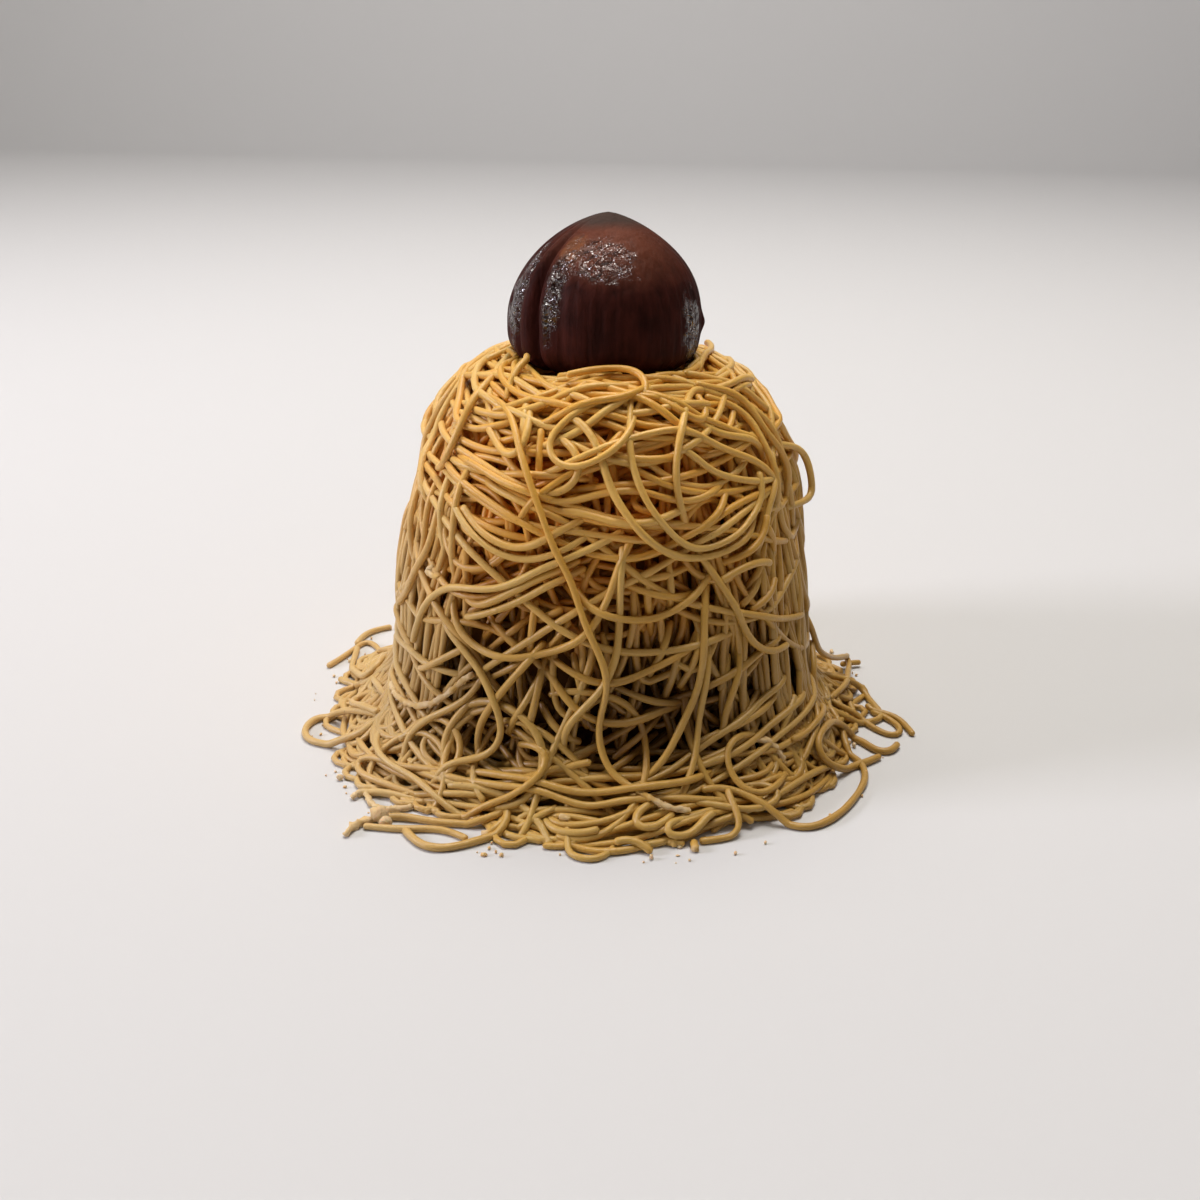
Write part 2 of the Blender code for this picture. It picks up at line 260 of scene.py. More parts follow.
def profile_at(run):
    """Radius and height at a run. Past the skirt's edge it goes on along the floor."""
    radius = np.interp(run, RUN_ROWS, RADIUS_ROWS) + np.maximum(run - EDGE_RUN, 0)
    height = np.interp(run, RUN_ROWS, HEIGHT_ROWS)
    return radius, height


def profile_normal(run, reach=1.5):
    """The outward normal's radial and upward parts, taken over a short stretch so that corners are soft."""
    radius_before, height_before = profile_at(np.maximum(run - reach, 0))
    radius_after, height_after = profile_at(run + reach)
    across, down = radius_after - radius_before, height_after - height_before
    length = np.hypot(across, down)
    return -down / length, across / length


def lump(azimuth, run):
    share = run / EDGE_RUN
    broad = np.sin(3 * azimuth + 5 * share + 0.6) + 0.6 * np.sin(5 * azimuth - 7 * share + 2.1)
    fine = 0.5 * np.sin(9 * azimuth + 13 * share) + 0.4 * np.sin(14 * azimuth - 17 * share + 1.0)
    fade = np.clip((share - 0.16) / 0.12, 0, 1)
    return LUMP * fade * (broad + fine)


def skirt_reach(azimuth, run):
    near_edge = np.clip(run / EDGE_RUN - 0.86, 0, 0.14) / 0.14
    beyond = np.clip(1 - (run - EDGE_RUN) / 8, 0, 1)
    wander = np.sin(4 * azimuth + 0.4) + 0.7 * np.sin(7 * azimuth + 2.0) + 0.4 * np.sin(13 * azimuth)
    return SKIRT_LUMP * near_edge**2 * beyond * wander


def set_back(azimuth, height):
    """How far the left flank stands back from the mound's round, just above the skirt."""
    off = (azimuth - SET_BACK_AZIMUTH + math.pi) % TURN - math.pi
    return SET_BACK * bell(off, 0, SET_BACK_WIDTH) * bell(height, SET_BACK_HEIGHT, SET_BACK_RISE)


def surface_points(azimuth, run, lift):
    """Points lifted off the mound along its normal, and that normal."""
    radius, height = profile_at(run)
    radius = radius - set_back(azimuth, height)
    out, up = profile_normal(run)
    lifted = lift + lump(azimuth, run) * np.minimum(1, height / 6)
    radius = np.maximum(radius + skirt_reach(azimuth, run) + out * lifted, 0.01)
    height = height + up * lifted
    sine, cosine = np.sin(azimuth), np.cos(azimuth)
    points = np.stack([radius * sine, -radius * cosine, height], 1)
    normals = np.stack([out * sine, -out * cosine, up], 1)
    return points, normals


# The photograph's camera


def camera_axes():
    """Right, up and forward directions of the camera."""
    forward = Vector(
        (
            math.sin(CAMERA_YAW) * math.cos(CAMERA_PITCH),
            math.cos(CAMERA_YAW) * math.cos(CAMERA_PITCH),
            -math.sin(CAMERA_PITCH),
        )
    )
    level = Vector((math.cos(CAMERA_YAW), -math.sin(CAMERA_YAW), 0))
    above = level.cross(forward)
    right = level * math.cos(CAMERA_ROLL) + above * math.sin(CAMERA_ROLL)
    up = above * math.cos(CAMERA_ROLL) - level * math.sin(CAMERA_ROLL)
    return right, up, forward


def pixel_rays(pixels):
    """Unit directions through pixels of the photograph."""
    right, up, forward = (np.array(axis) for axis in camera_axes())
    centred = (np.array(pixels, float) - IMAGE_PIXELS / 2) / FOCAL_PIXELS
    rays = forward + centred[:, :1] * right - centred[:, 1:] * up
    return rays / np.linalg.norm(rays, axis=1, keepdims=True)


def pixels_on_mound(pixels, proud=0.0, standing=False):
    """Azimuth, run and lift of the places where pixels of the photograph meet the floor or the mound,
    or what stands so far proud of it. What is standing stays near the mound where the ray misses it."""
    rays = pixel_rays(pixels)
    start = np.array(CAMERA_PLACE)
    points = start + rays[:, None, :] * RAY_WAYS[None, :, None]
    radius = np.hypot(points[..., 0], points[..., 1])
    back = set_back(np.arctan2(points[..., 0], -points[..., 1]), points[..., 2])
    outside = radius - mound_radius(np.maximum(points[..., 2] - proud, 0)) - proud + back
    outside = np.maximum(outside, points[..., 2] - MOUND_HEIGHT - proud)
    over_floor = np.where(points[..., 1] > FLOOR_SEEN, np.inf, points[..., 2] - 0.7)
    clear = outside if standing else np.minimum(outside, over_floor)
    inside = clear < 0
    first = np.where(inside.any(1), inside.argmax(1), clear.argmin(1))
    rows = np.arange(len(pixels))
    chosen = points[rows, first]
    azimuth = np.arctan2(chosen[:, 0], -chosen[:, 1])
    far_runs = np.arange(EDGE_RUN, EDGE_RUN + 20, 0.1)
    runs = np.concatenate([RUN_ROWS, far_runs])
    radii, heights = profile_at(runs)
    reach = np.hypot(chosen[:, 0], chosen[:, 1]) + back[rows, first]
    gaps = np.hypot(radii[None] - reach[:, None], heights[None] - chosen[:, 2:3])
    nearest = gaps.argmin(1)
    run = runs[nearest]
    for _ in range(4):
        run = np.where(runs[nearest] > EDGE_RUN - 6, runs[nearest] - skirt_reach(azimuth, run), run)
    return azimuth, run, np.where(inside.any(1), proud, proud + np.maximum(outside[rows, first], 0))


# Laying strands


class HeightMap:
    """How high the heap stands off the mound's surface, all over it."""

    def __init__(self, core_depth):
        turns = np.arange(MAP_TURN_CELLS) / MAP_TURN_CELLS * TURN
        runs = np.arange(MAP_RUN_CELLS) * MAP_RUN_STEP
        azimuth, run = np.meshgrid(turns, runs, indexing="ij")
        _, height = profile_at(run)
        _, up = profile_normal(run)
        floor = -height / np.maximum(up, 0.25)
        self.cells = np.maximum(-core_depth(azimuth, run), floor)

    def index(self, azimuth, run):
        i = np.round(azimuth / TURN * MAP_TURN_CELLS).astype(int) % MAP_TURN_CELLS
        j = np.clip(np.round(run / MAP_RUN_STEP).astype(int), 0, MAP_RUN_CELLS - 1)
        return i, j

    def across(self, azimuth, run, radius):
        """Cells under a strand, side by side across it, with the half chord there."""
        place, _ = profile_at(run)
        place = np.maximum(place, 4)
        turn_step = np.gradient(azimuth) * place
        run_step = np.gradient(run)
        length = np.maximum(np.hypot(turn_step, run_step), 1e-6)
        offsets = np.linspace(-0.92, 0.92, 7)[:, None] * radius
        beside_azimuth = azimuth + offsets * (run_step / length) / place
        beside_run = run - offsets * (turn_step / length)
        chord = np.sqrt(np.maximum(radius**2 - offsets**2, 0))
        return self.index(beside_azimuth, beside_run), chord

    def lay(self, azimuth, run, radius, sink, lowest, bend_radius, cap, share_over, smooth, tuck):
        """Centre heights of a strand laid along a path: on what is there, and bridging what is narrow.
        Where too much of it would stand above the cap, it isn't laid, and the rest of it is pressed in."""
        cells, chord = self.across(azimuth, run, radius)
        rest = (self.cells[cells] + chord).max(0) - sink
        rest = np.maximum(rest, lowest)
        centre = rest.copy()
        slack = PATH_STEP**2 / (2 * bend_radius)
        for stride in STIFFENING_STRIDES:
            if stride * 2 >= len(centre):
                continue
            padded = np.pad(centre, stride, mode="edge")
            middle = (padded[: -2 * stride] + padded[2 * stride :]) / 2
            centre = np.maximum(rest, middle - slack * stride**2)
        if callable(cap):
            cap = cap(azimuth, run)
        over = centre > cap
        if over.mean() > share_over:
            return None
        ways = np.arange(len(centre)) * PATH_STEP
        for way, deep in ((ways, tuck[0]), (ways[::-1], tuck[1])):
            centre = centre - deep * np.clip(1 - way / TUCK_LENGTH, 0, 1) ** 1.5
        centre = soften(np.where(over, cap + PRESSED_SHARE * (centre - cap), centre), smooth)
        np.maximum.at(self.cells, cells, centre + chord * SETTLED_SHARE)
        return centre


def soften(values, width):
    """Values smoothed along a path by a bell curve of that width in steps."""
    reach = int(3 * width) + 1
    weights = np.exp(-0.5 * (np.arange(-reach, reach + 1) / width) ** 2)
    weights /= weights.sum()
    if values.ndim == 1:
        return np.convolve(np.pad(values, reach, mode="edge"), weights, mode="valid")
    return np.stack([soften(column, width) for column in values.T], 1)


def even_steps(points, step):
    """Rows of points resampled at even steps of their length, with the length at each."""
    lengths = np.concatenate([[0], np.cumsum(np.linalg.norm(np.diff(points[:, :3], axis=0), axis=1))])
    count = max(int(round(lengths[-1] / step)), 2)
    wanted = np.linspace(0, lengths[-1], count + 1)
    return np.stack([np.interp(wanted, lengths, column) for column in points.T], 1), wanted


class StrandPile:
    """Collects strands as they are laid."""

    def __init__(self, draw, height_map, radius, sink):
        self.draw = draw
        self.map = height_map
        self.radius = radius
        self.sink = sink
        self.groups = {}

    def add(
        self, group, azimuth, run, cap, lowest=-9.0, bend_radius=18.0, tube_step=1.3, share_over=0.2,
        smooth=3.0, tuck=(3.4, 3.4), rough=(2, 2),
    ):
        """Lays one strand along a path of azimuths and runs, given a step apart. Gives back its length."""
        thickness = self.radius * self.draw.uniform(0.92, 1.08)
        tint, phase = self.draw.uniform(0, 1), self.draw.uniform(0, 100)
        if len(azimuth) < 6:
            return 0
        centre = self.map.lay(
            azimuth, run, thickness, self.sink, lowest, bend_radius, cap, share_over, smooth, tuck
        )
        if centre is None:
            return 0
        points, normals = surface_points(azimuth, run, centre)
        points = soften(points, 2.2)
        points = clear_of_chestnut(points, thickness)
        points[:, 2] = np.maximum(points[:, 2], thickness)
        along = np.linspace(0, 1, len(points))
        broken = ramp(along, rough[0] - 0.05, rough[0]) * ramp(-along, -rough[1] - 0.05, -rough[1])
        rows = np.concatenate([points, normals, centre[:, None], broken[:, None]], 1)
        rows, along = even_steps(rows, tube_step)
        self.groups.setdefault(group, []).append(
            {
                "points": rows[:, :3],
                "normals": rows[:, 3:6],
                "along": along,
                "radius": thickness,
                "tint": tint,
                "phase": phase,
                "depth": -rows[:, 6],
                "rough": rows[:, 7],
            }
        )
        return len(azimuth) * PATH_STEP


def clear_of_chestnut(points, thickness):
    """Points pushed outwards where a strand would run into the chestnut."""
    base, top = CHESTNUT_LOW.z / MM, CHESTNUT_HIGH.z / MM
    share = np.clip((points[:, 2] - base) / (top - base), 0, 0.3)
    allowed = CHESTNUT_RADIUS * chestnut_outline(share) + thickness + 0.3
    deep = np.hypot(points[:, 0], points[:, 1] / 0.93)
    push = np.where(points[:, 2] > base - 1, np.maximum(allowed / np.maximum(deep, 1), 1), 1)
    moved = points.copy()
    moved[:, 0] *= push
    moved[:, 1] *= push
    return soften(moved, 1.5)


def walk(
    draw, azimuth, run, heading, length, pull=0.0, wanted=0.0, wander=0.03, curl=0.0, swing=36.0, ends=None,
    inside=18.0,
):
    """A path that wanders over the mound. Heading 0 is straight down, and a quarter turn is to the right.
    pull turns it back towards the wanted heading, wander is how sharply it bends, and swing how often.
    ends are two runs between which it goes up and down, in a turn at each. It stays past the run inside."""
    count = int(length / PATH_STEP)
    knots = np.arange(int(length / swing * 3) + 6) * swing / 3
    bends = np.interp(np.arange(count) * PATH_STEP, knots, draw.normal(0, 1, len(knots)))
    bends = soften(bends, 8.0) * wander * 1.3
    azimuths, runs = np.empty(count), np.empty(count)
    turning, side = 0.0, draw.choice((-1, 1))
    tight = draw.uniform(0.14, 0.3)
    for i in range(count):
        azimuths[i], runs[i] = azimuth, run
        if ends and turning == 0.0:
            down = math.cos(heading) > 0
            if (down and run > ends[1]) or (not down and run < ends[0]):
                turning = side * tight
                wanted = math.pi if down else 0.0
        off = (wanted - heading + math.pi) % TURN - math.pi
        if turning:
            heading += turning * PATH_STEP
            if abs(off) < 0.5:
                turning, tight = 0.0, draw.uniform(0.12, 0.3)
                side = draw.choice((-1, 1))
                ends = (ends[0] + draw.uniform(-4, 4), ends[1] + draw.uniform(-4, 4))
        else:
            heading += (bends[i] + curl + pull * off) * PATH_STEP
        if run < inside:
            off = (0 - heading + math.pi) % TURN - math.pi
            heading += TOP_TURN * off * PATH_STEP
        if run > EDGE_RUN - 1:
            off = (math.pi - heading + math.pi) % TURN - math.pi
            heading += EDGE_TURN * off * PATH_STEP
        place = max(float(np.interp(run, RUN_ROWS, RADIUS_ROWS)), 8.0) + max(run - EDGE_RUN, 0)
        azimuth += math.sin(heading) * PATH_STEP / place
        run = min(max(run + math.cos(heading) * PATH_STEP, inside - 2.5), EDGE_RUN + 3.5)
    return azimuths, runs


def smooth_path(azimuths, runs):
    """A path a step apart along the smooth curve through a few places."""
    places = np.array(azimuths, float), np.array(runs, float)
    fine = np.linspace(0, len(runs) - 1, (len(runs) - 1) * 24 + 1)
    curves = []
    for values in places:
        padded = np.concatenate([[2 * values[0] - values[1]], values, [2 * values[-1] - values[-2]]])
        k = np.minimum(fine.astype(int), len(runs) - 2)
        t = fine - k
        a, b, c, d = padded[k], padded[k + 1], padded[k + 2], padded[k + 3]
        curves.append(
            0.5 * (2 * b + (c - a) * t + (2 * a - 5 * b + 4 * c - d) * t**2 + (3 * b - a - 3 * c + d) * t**3)
        )
    azimuth, run = curves
    radius, _ = profile_at(run)
    steps = np.hypot(np.diff(azimuth) * (radius[1:] + radius[:-1]) / 2, np.diff(run))
    lengths = np.concatenate([[0], np.cumsum(steps)])
    wanted = np.arange(0, lengths[-1], PATH_STEP)
    return np.interp(wanted, lengths, azimuth), np.interp(wanted, lengths, run)


def swag(draw, centre, half_width, top, depth, lean):
    """A U that hangs on the side. Widths are in millimetres."""
    turn = np.linspace(0, math.pi, 13)
    run = top + depth * np.sin(turn) ** 0.8 + lean * np.cos(turn)
    radius, _ = profile_at(run)
    azimuth = centre - half_width * np.cos(turn) / radius * (0.8 + 0.3 * np.sin(turn))
    azimuth = azimuth + draw.normal(0, 0.012, len(turn))
    return smooth_path(azimuth, run + draw.normal(0, 0.5, len(turn)))


def ramp(value, start, end):
    """0 before start, 1 after end, and a smooth way between."""
    share = np.clip((value - start) / (end - start), 0, 1)
    return share * share * (3 - 2 * share)


def front_share(azimuth):
    """1 at the front and 0 from the flanks on."""
    off = (azimuth - FRONT_MIDDLE + math.pi) % TURN - math.pi
    return np.exp(-((off / FRONT_WIDTH) ** 4))


def open_front(azimuth, run):
    """1 where the strands hang far apart, low on the front, and 0 elsewhere."""
    return front_share(azimuth) * ramp(run, *OPEN_FROM) * (1 - ramp(run, *OPEN_TO))


def core_depth(azimuth, run):
    """How deep the core lies below the mound's surface: deepest low on the front, where gaps are dark."""
    depth = 1.2 + 5.2 * ramp(run, 13, 40) + 3.2 * open_front(azimuth, run)
    return depth + 12 * ramp(run, 86, 101)


def inner_cap(azimuth, run):
    """How high the layers that fill the mound may reach."""
    low = 2.6 + 0.8 * front_share(azimuth)
    return -0.8 - low * ramp(run, 18, 42) - 2.0 * open_front(azimuth, run) + 1.6 * ramp(run, 94, 104)


def side_cap(azimuth, run):
    """How high the flanks and the back may reach: lower towards the foot, where they come straight down."""
    return -0.4 - 1.1 * ramp(run, 62, 88) - 2.2 * front_share(azimuth)


def skirt_cap(azimuth, run):
    """How high the skirt may reach: it lies thinner beside the flanks than in front and behind."""
    beside = np.sin(azimuth) ** 6
    front = 1.2 * front_share(azimuth)
    return 0.1 - front - 2.0 * beside * ramp(run, 82, 90) * (1 - ramp(run, 98, 106))


def shoulder_cap(azimuth, run):
    """How high strands may reach on the top and the shoulder: they heap up round the chestnut's foot."""
    return 0.1 + 0.9 * (1 - ramp(run, 20, 31)) - 1.1 * front_share(azimuth) * ramp(run, 19, 26)


# Strands followed in the photograph. Each layer has its height off the mound's surface in
# millimetres. Each strand has a letter for how its first and last ends lie: i tucked in, d deeper in,
# s a little in and o open. After them stands f if it lies on what is below and not at the layer's height,
# r, b or e if it is rough all along, at its beginning or at its end, and p if it stands off the heap's
# outline. Then come places along it, in pixels across and down.
TRACED = (
    (-5.0, (
        ("ii", (668, 615, 662, 632, 655, 650, 650, 665, 643, 680)),
        ("ii", (634, 700, 626, 713, 618, 724)),
        ("ii", (672, 640, 668, 665, 664, 690, 661, 705)),
        ("ii", (668, 660, 674, 675, 682, 692)),
        ("ii", (575, 645, 578, 660, 583, 680, 587, 702)),
        ("ii", (548, 650, 558, 638, 568, 625, 576, 610)),
        ("ii", (570, 603, 556, 610, 540, 618)),
        ("ii", (512, 700, 500, 705, 488, 709, 474, 716)),
        ("ii", (646, 560, 640, 585, 645, 610, 650, 640)),
        ("ii", (690, 620, 684, 650, 672, 690)),
        ("ii", (600, 625, 608, 650, 602, 680)),
    )),
    (-3.4, (
        ("ii", (632, 577, 648, 576, 664, 573, 680, 568, 696, 562)),
        ("ii", (618, 580, 632, 585, 648, 591, 664, 594, 680, 595, 696, 592)),
        ("ii", (573, 588, 588, 590, 606, 590)),
        ("ii", (668, 712, 652, 725, 636, 738, 622, 750, 608, 763)),
        ("ii", (610, 738, 595, 745, 580, 752, 566, 758)),
        ("ii", (540, 698, 548, 712, 558, 724, 568, 734, 584, 743)),
        ("ii", (486, 461, 505, 464, 528, 471)),
        ("ii", (601, 463, 620, 467, 640, 469, 660, 467, 674, 463)),
        ("ii", (590, 411, 606, 420, 618, 428, 630, 435)),
        ("ii", (497, 503, 495, 518, 493, 533)),
        ("ii", (485, 503, 484, 518, 481, 532)),
        ("ii", (493, 611, 503, 623, 513, 634, 529, 649)),
        ("ii", (722, 648, 718, 668, 711, 692)),
        ("ii", (731, 652, 727, 675, 722, 694)),
        ("ii", (711, 601, 722, 612, 734, 627)),
        ("ii", (717, 510, 717, 530, 716, 550)),
        ("ii", (757, 598, 758, 620, 755, 640)),
        ("ii", (770, 598, 767, 625, 760, 652)),
        ("ii", (482, 710, 470, 722, 463, 735, 460, 748, 465, 761)),
        ("ii", (664, 555, 666, 580, 668, 610)),
        ("ii", (520, 520, 505, 523, 490, 519)),
        ("ii", (590, 517, 570, 524, 552, 536)),
    )),
    (-2.1, (
        ("ii", (550, 512, 570, 510, 590, 514, 608, 520, 630, 523, 650, 521, 668, 514, 685, 506, 704, 499)),
        ("ii", (541, 663, 553, 677, 563, 690, 574, 704, 586, 715, 600, 722, 618, 725, 638, 722, 655, 716,
            672, 711, 690, 705)),
        ("ii", (610, 687, 625, 693, 640, 699, 655, 704, 672, 706, 692, 704)),
        ("ii", (642, 491, 630, 497, 629, 505, 636, 511, 646, 510, 657, 515)),
        ("ii", (530, 510, 532, 530, 534, 548, 534, 564)),
        ("ii", (478, 537, 477, 560, 474, 587)),
        ("ii", (547, 437, 545, 460, 543, 484)),
        ("ii", (533, 414, 533, 432, 530, 450, 534, 470)),
        ("ii", (537, 595, 536, 615, 534, 635, 530, 657)),
        ("ii", (546, 652, 541, 675, 538, 700, 535, 715, 529, 732)),
        ("ii", (752, 566, 748, 582, 740, 595, 732, 608)),
        ("ii", (688, 747, 705, 738, 722, 729)),
        ("ii", (698, 706, 715, 700, 730, 693)),
        ("ii", (506, 487, 518, 496, 532, 504, 548, 513)),
    )),
    (-1.3, (
        ("ii", (550, 437, 566, 446, 578, 456, 583, 468, 580, 480, 570, 490, 556, 495, 540, 493)),
        ("ii", (538, 496, 560, 503, 580, 500, 600, 494, 625, 491, 645, 492, 662, 498, 680, 502, 697, 499,
            712, 491, 730, 479)),
        ("ii", (541, 672, 533, 690, 527, 703, 518, 716, 509, 728, 505, 738)),
        ("ii", (474, 693, 464, 710, 455, 725, 449, 740, 446, 755, 445, 768)),
        ("ii", (762, 650, 750, 665, 740, 678, 731, 694)),
        ("ii", (776, 683, 766, 700, 752, 712, 738, 721, 724, 733)),
        ("si", (768, 574, 764, 588, 754, 600, 741, 613)),
        ("ii", (756, 523, 765, 540, 773, 560)),
        ("ii", (543, 655, 558, 664, 574, 673, 592, 681, 612, 685, 636, 680, 656, 670, 676, 659, 700, 643)),
        ("ii", (730, 478, 723, 497, 715, 512, 704, 524, 688, 537)),
        ("ii", (716, 566, 735, 556, 748, 545, 756, 530, 758, 510)),
        ("ii", (634, 534, 622, 557, 615, 577, 608, 598, 599, 616, 585, 636, 562, 648, 540, 654, 518, 657,
            500, 654, 482, 646, 468, 632, 460, 612, 456, 588)),
        ("ii", (666, 446, 682, 456, 697, 466, 712, 473, 730, 478, 750, 483, 766, 479)),
    )),
    (-0.8, (
        ("ii", (475, 460, 470, 480, 466, 500, 464, 520, 461, 545, 458, 566, 456, 588)),
        ("ii", (455, 468, 452, 490, 449, 510, 447, 535, 443, 557)),
        ("ii", (440, 472, 436, 495, 432, 520, 429, 545, 423, 572)),
        ("ii", (425, 468, 421, 495, 418, 520, 414, 548, 409, 577)),
        ("ii", (412, 478, 408, 505, 404, 530, 401, 560, 399, 592)),
        ("io", (443, 498, 440, 520, 437, 540, 431, 557, 421, 575, 411, 591, 405, 605)),
        ("ii", (492, 430, 499, 444, 508, 457, 518, 462, 527, 457, 531, 446, 534, 430, 533, 413)),
        ("ii", (459, 455, 480, 466, 496, 476, 512, 485, 529, 491, 548, 498, 566, 503)),
        ("ii", (468, 503, 472, 512, 482, 526, 495, 538, 510, 546, 525, 548, 540, 543, 552, 536, 568, 526,
            588, 516)),
        ("ii", (463, 503, 472, 522, 484, 537, 497, 549, 512, 557, 528, 560, 545, 557, 562, 551, 580, 541,
            600, 527)),
        ("ii", (582, 560, 560, 570, 540, 577, 525, 586, 510, 593, 497, 600, 485, 605, 475, 604, 468, 598,
            464, 588)),
        ("io", (588, 568, 565, 578, 545, 587, 530, 596, 515, 603, 500, 609, 488, 613, 475, 616, 467, 615)),
        ("io", (627, 529, 605, 542, 585, 551, 565, 559, 552, 565, 540, 569, 525, 578, 510, 585, 497, 588,
            480, 587, 462, 585, 450, 588, 442, 595, 435, 605, 428, 622, 421, 644)),
        ("ii", (624, 543, 621, 565, 620, 590, 620, 615, 619, 640, 616, 660, 610, 675, 602, 689, 590, 702,
            576, 715, 566, 729, 561, 743, 564, 759)),
        ("ii", (560, 421, 578, 429, 591, 441, 599, 455, 605, 474, 612, 494, 622, 510, 640, 534, 665, 552,
            693, 559, 723, 552, 747, 531, 758, 504)),
        ("ii", (628, 401, 628, 430, 628, 456, 638, 489, 656, 519, 683, 544, 703, 550, 731, 536, 749, 514,
            756, 497, 752, 468)),
        ("ii", (538, 477, 565, 468, 590, 459, 631, 444, 673, 438, 706, 444, 739, 457, 758, 469, 768, 484)),
        ("ii", (688, 424, 706, 432, 722, 438, 742, 441, 756, 449, 767, 465)),
        ("ii", (573, 588, 583, 603, 600, 613, 625, 620, 654, 621, 683, 607, 704, 590, 713, 574, 728, 559)),
        ("ii", (712, 578, 707, 600, 704, 630, 702, 660, 698, 690, 690, 712, 681, 732, 671, 750, 658, 768,
            641, 783)),
        ("ii", (712, 640, 702, 702, 699, 725, 697, 745, 693, 765, 688, 782, 679, 803)),
        ("ii", (741, 638, 738, 662, 733, 682, 727, 702, 724, 722, 726, 740)),
        ("is", (698, 548, 717, 580, 730, 605, 738, 628, 750, 645, 767, 650, 782, 641)),
        ("oi", (766, 563, 755, 560, 742, 565, 730, 573, 717, 583)),
        ("ii", (545, 640, 530, 660, 520, 671, 510, 683, 498, 698, 487, 712, 478, 725, 473, 741, 475, 759)),
        ("ii", (444, 612, 458, 636, 474, 657, 484, 672, 494, 691, 501, 710, 504, 730, 499, 746, 488, 755,
            472, 760, 455, 763, 441, 772, 427, 787)),
        ("ii", (468, 647, 455, 653, 445, 661, 434, 667, 420, 667)),
        ("ssr", (474, 673, 463, 679, 455, 689, 444, 699, 432, 706, 418, 706, 407, 697, 401, 682)),
        ("ii", (479, 676, 468, 696, 453, 708, 438, 716, 424, 728, 411, 738, 403, 749, 400, 764)),
        ("ii", (438, 727, 425, 736, 420, 747, 424, 759, 438, 766)),
        ("ssr", (440, 565, 432, 567, 430, 571, 436, 575, 447, 577)),
        ("ii", (802, 688, 806, 708, 807, 728, 802, 745, 803, 758, 798, 768, 789, 768)),
        ("ii", (788, 693, 781, 710, 778, 725, 779, 742)),
    )),
    (-0.4, (
        ("ioe", (481, 404, 499, 406, 511, 415, 519, 431, 526, 456, 534, 481, 542, 506, 551, 536, 561, 561,
            571, 580, 583, 618, 596, 647, 606, 672, 607, 691, 600, 718, 598, 733, 601, 752, 608, 768,
            618, 779, 635, 788, 648, 797, 660, 805, 675, 811, 693, 811)),
        ("is", (570, 366, 545, 363, 525, 367, 508, 376, 497, 387, 487, 401, 476, 418, 468, 433, 459, 450,
            451, 465, 444, 470, 437, 466)),
        ("ii", (524, 368, 534, 381, 544, 392, 556, 399, 574, 403, 594, 405)),
        ("ii", (650, 383, 668, 387, 684, 392, 705, 398, 730, 404, 750, 416, 765, 432, 776, 452, 784, 478,
            790, 505, 796, 535)),
        ("ii", (700, 400, 722, 405, 740, 415, 752, 432, 760, 450, 767, 470, 772, 492, 777, 522)),
        ("ii", (598, 391, 620, 398, 640, 404, 658, 413, 674, 421, 690, 427, 702, 426, 704, 418, 699, 408,
            692, 399)),
        ("oi", (618, 377, 604, 382, 588, 386, 570, 396, 552, 402, 535, 408, 515, 413, 493, 417)),
        ("ii", (602, 371, 582, 379, 562, 388, 546, 400)),
        ("ii", (715, 394, 696, 396, 686, 401, 680, 420, 673, 448, 673, 481, 680, 506, 695, 535)),
        ("is", (500, 362, 480, 375, 460, 392, 440, 412, 428, 432, 420, 455, 414, 480, 410, 505, 405, 532)),
    )),
    (0.6, (
        ("idp", (782, 440, 797, 452, 805, 468, 806, 484, 800, 498, 790, 510)),
        ("oip", (703, 351, 704, 357, 701, 365, 695, 375)),
        ("iop", (690, 386, 706, 390, 724, 391, 738, 387, 748, 387)),
        ("ii", (625, 404, 610, 405, 596, 410, 576, 418, 554, 433, 547, 448, 554, 463, 569, 469, 596, 463,
            619, 448, 632, 428, 634, 408)),
        ("ii", (690, 387, 710, 390, 730, 395, 745, 405, 765, 430, 781, 451, 790, 474, 795, 500)),
    )),
    (1.7, (
        ("ii", (652, 380, 644, 391, 623, 401, 590, 406, 560, 412, 530, 420)),
    )),
    (3.4, (
        ("od", (562, 371, 576, 370, 590, 368, 607, 365, 631, 366, 643, 371, 649, 380, 645, 391, 634, 397)),
        ("od", (536, 351, 524, 357, 510, 365, 500, 375, 494, 384)),
    )),
    (-2.0, (
        ("iif", (440, 768, 415, 766, 395, 763, 375, 759, 362, 761, 356, 768, 362, 776, 380, 783, 400, 787,
            422, 792)),
        ("iif", (455, 778, 475, 780, 495, 785, 520, 787, 540, 790, 556, 796, 572, 802, 590, 804, 610, 801,
            632, 797, 657, 797)),
        ("iif", (506, 819, 525, 810, 545, 805, 562, 806)),
        ("iif", (510, 825, 528, 818, 545, 809, 562, 802)),
        ("iif", (516, 826, 530, 834, 545, 839, 558, 839, 572, 835)),
        ("iif", (545, 810, 550, 820, 560, 823, 580, 825, 600, 822, 615, 815, 630, 808, 647, 799)),
        ("iof", (541, 812, 547, 825, 558, 831, 575, 834, 592, 834, 603, 827)),
        ("oofr", (556, 813, 565, 815, 574, 818)),
        ("iif", (730, 770, 745, 765, 757, 755, 766, 744)),
        ("iif", (733, 777, 750, 776, 765, 773, 776, 765, 780, 753)),
        ("iif", (690, 799, 715, 803, 735, 809, 755, 811, 770, 807, 780, 798, 777, 789, 768, 784, 757, 780,
            743, 784)),
        ("iif", (458, 768, 480, 770, 500, 775, 520, 777, 540, 782, 555, 787, 575, 791, 600, 791, 625, 788,
            650, 786, 672, 783, 690, 780, 705, 775, 722, 766)),
        ("ssf", (700, 789, 725, 786, 745, 793, 757, 803, 768, 812, 783, 822, 803, 828, 822, 824, 842, 812,
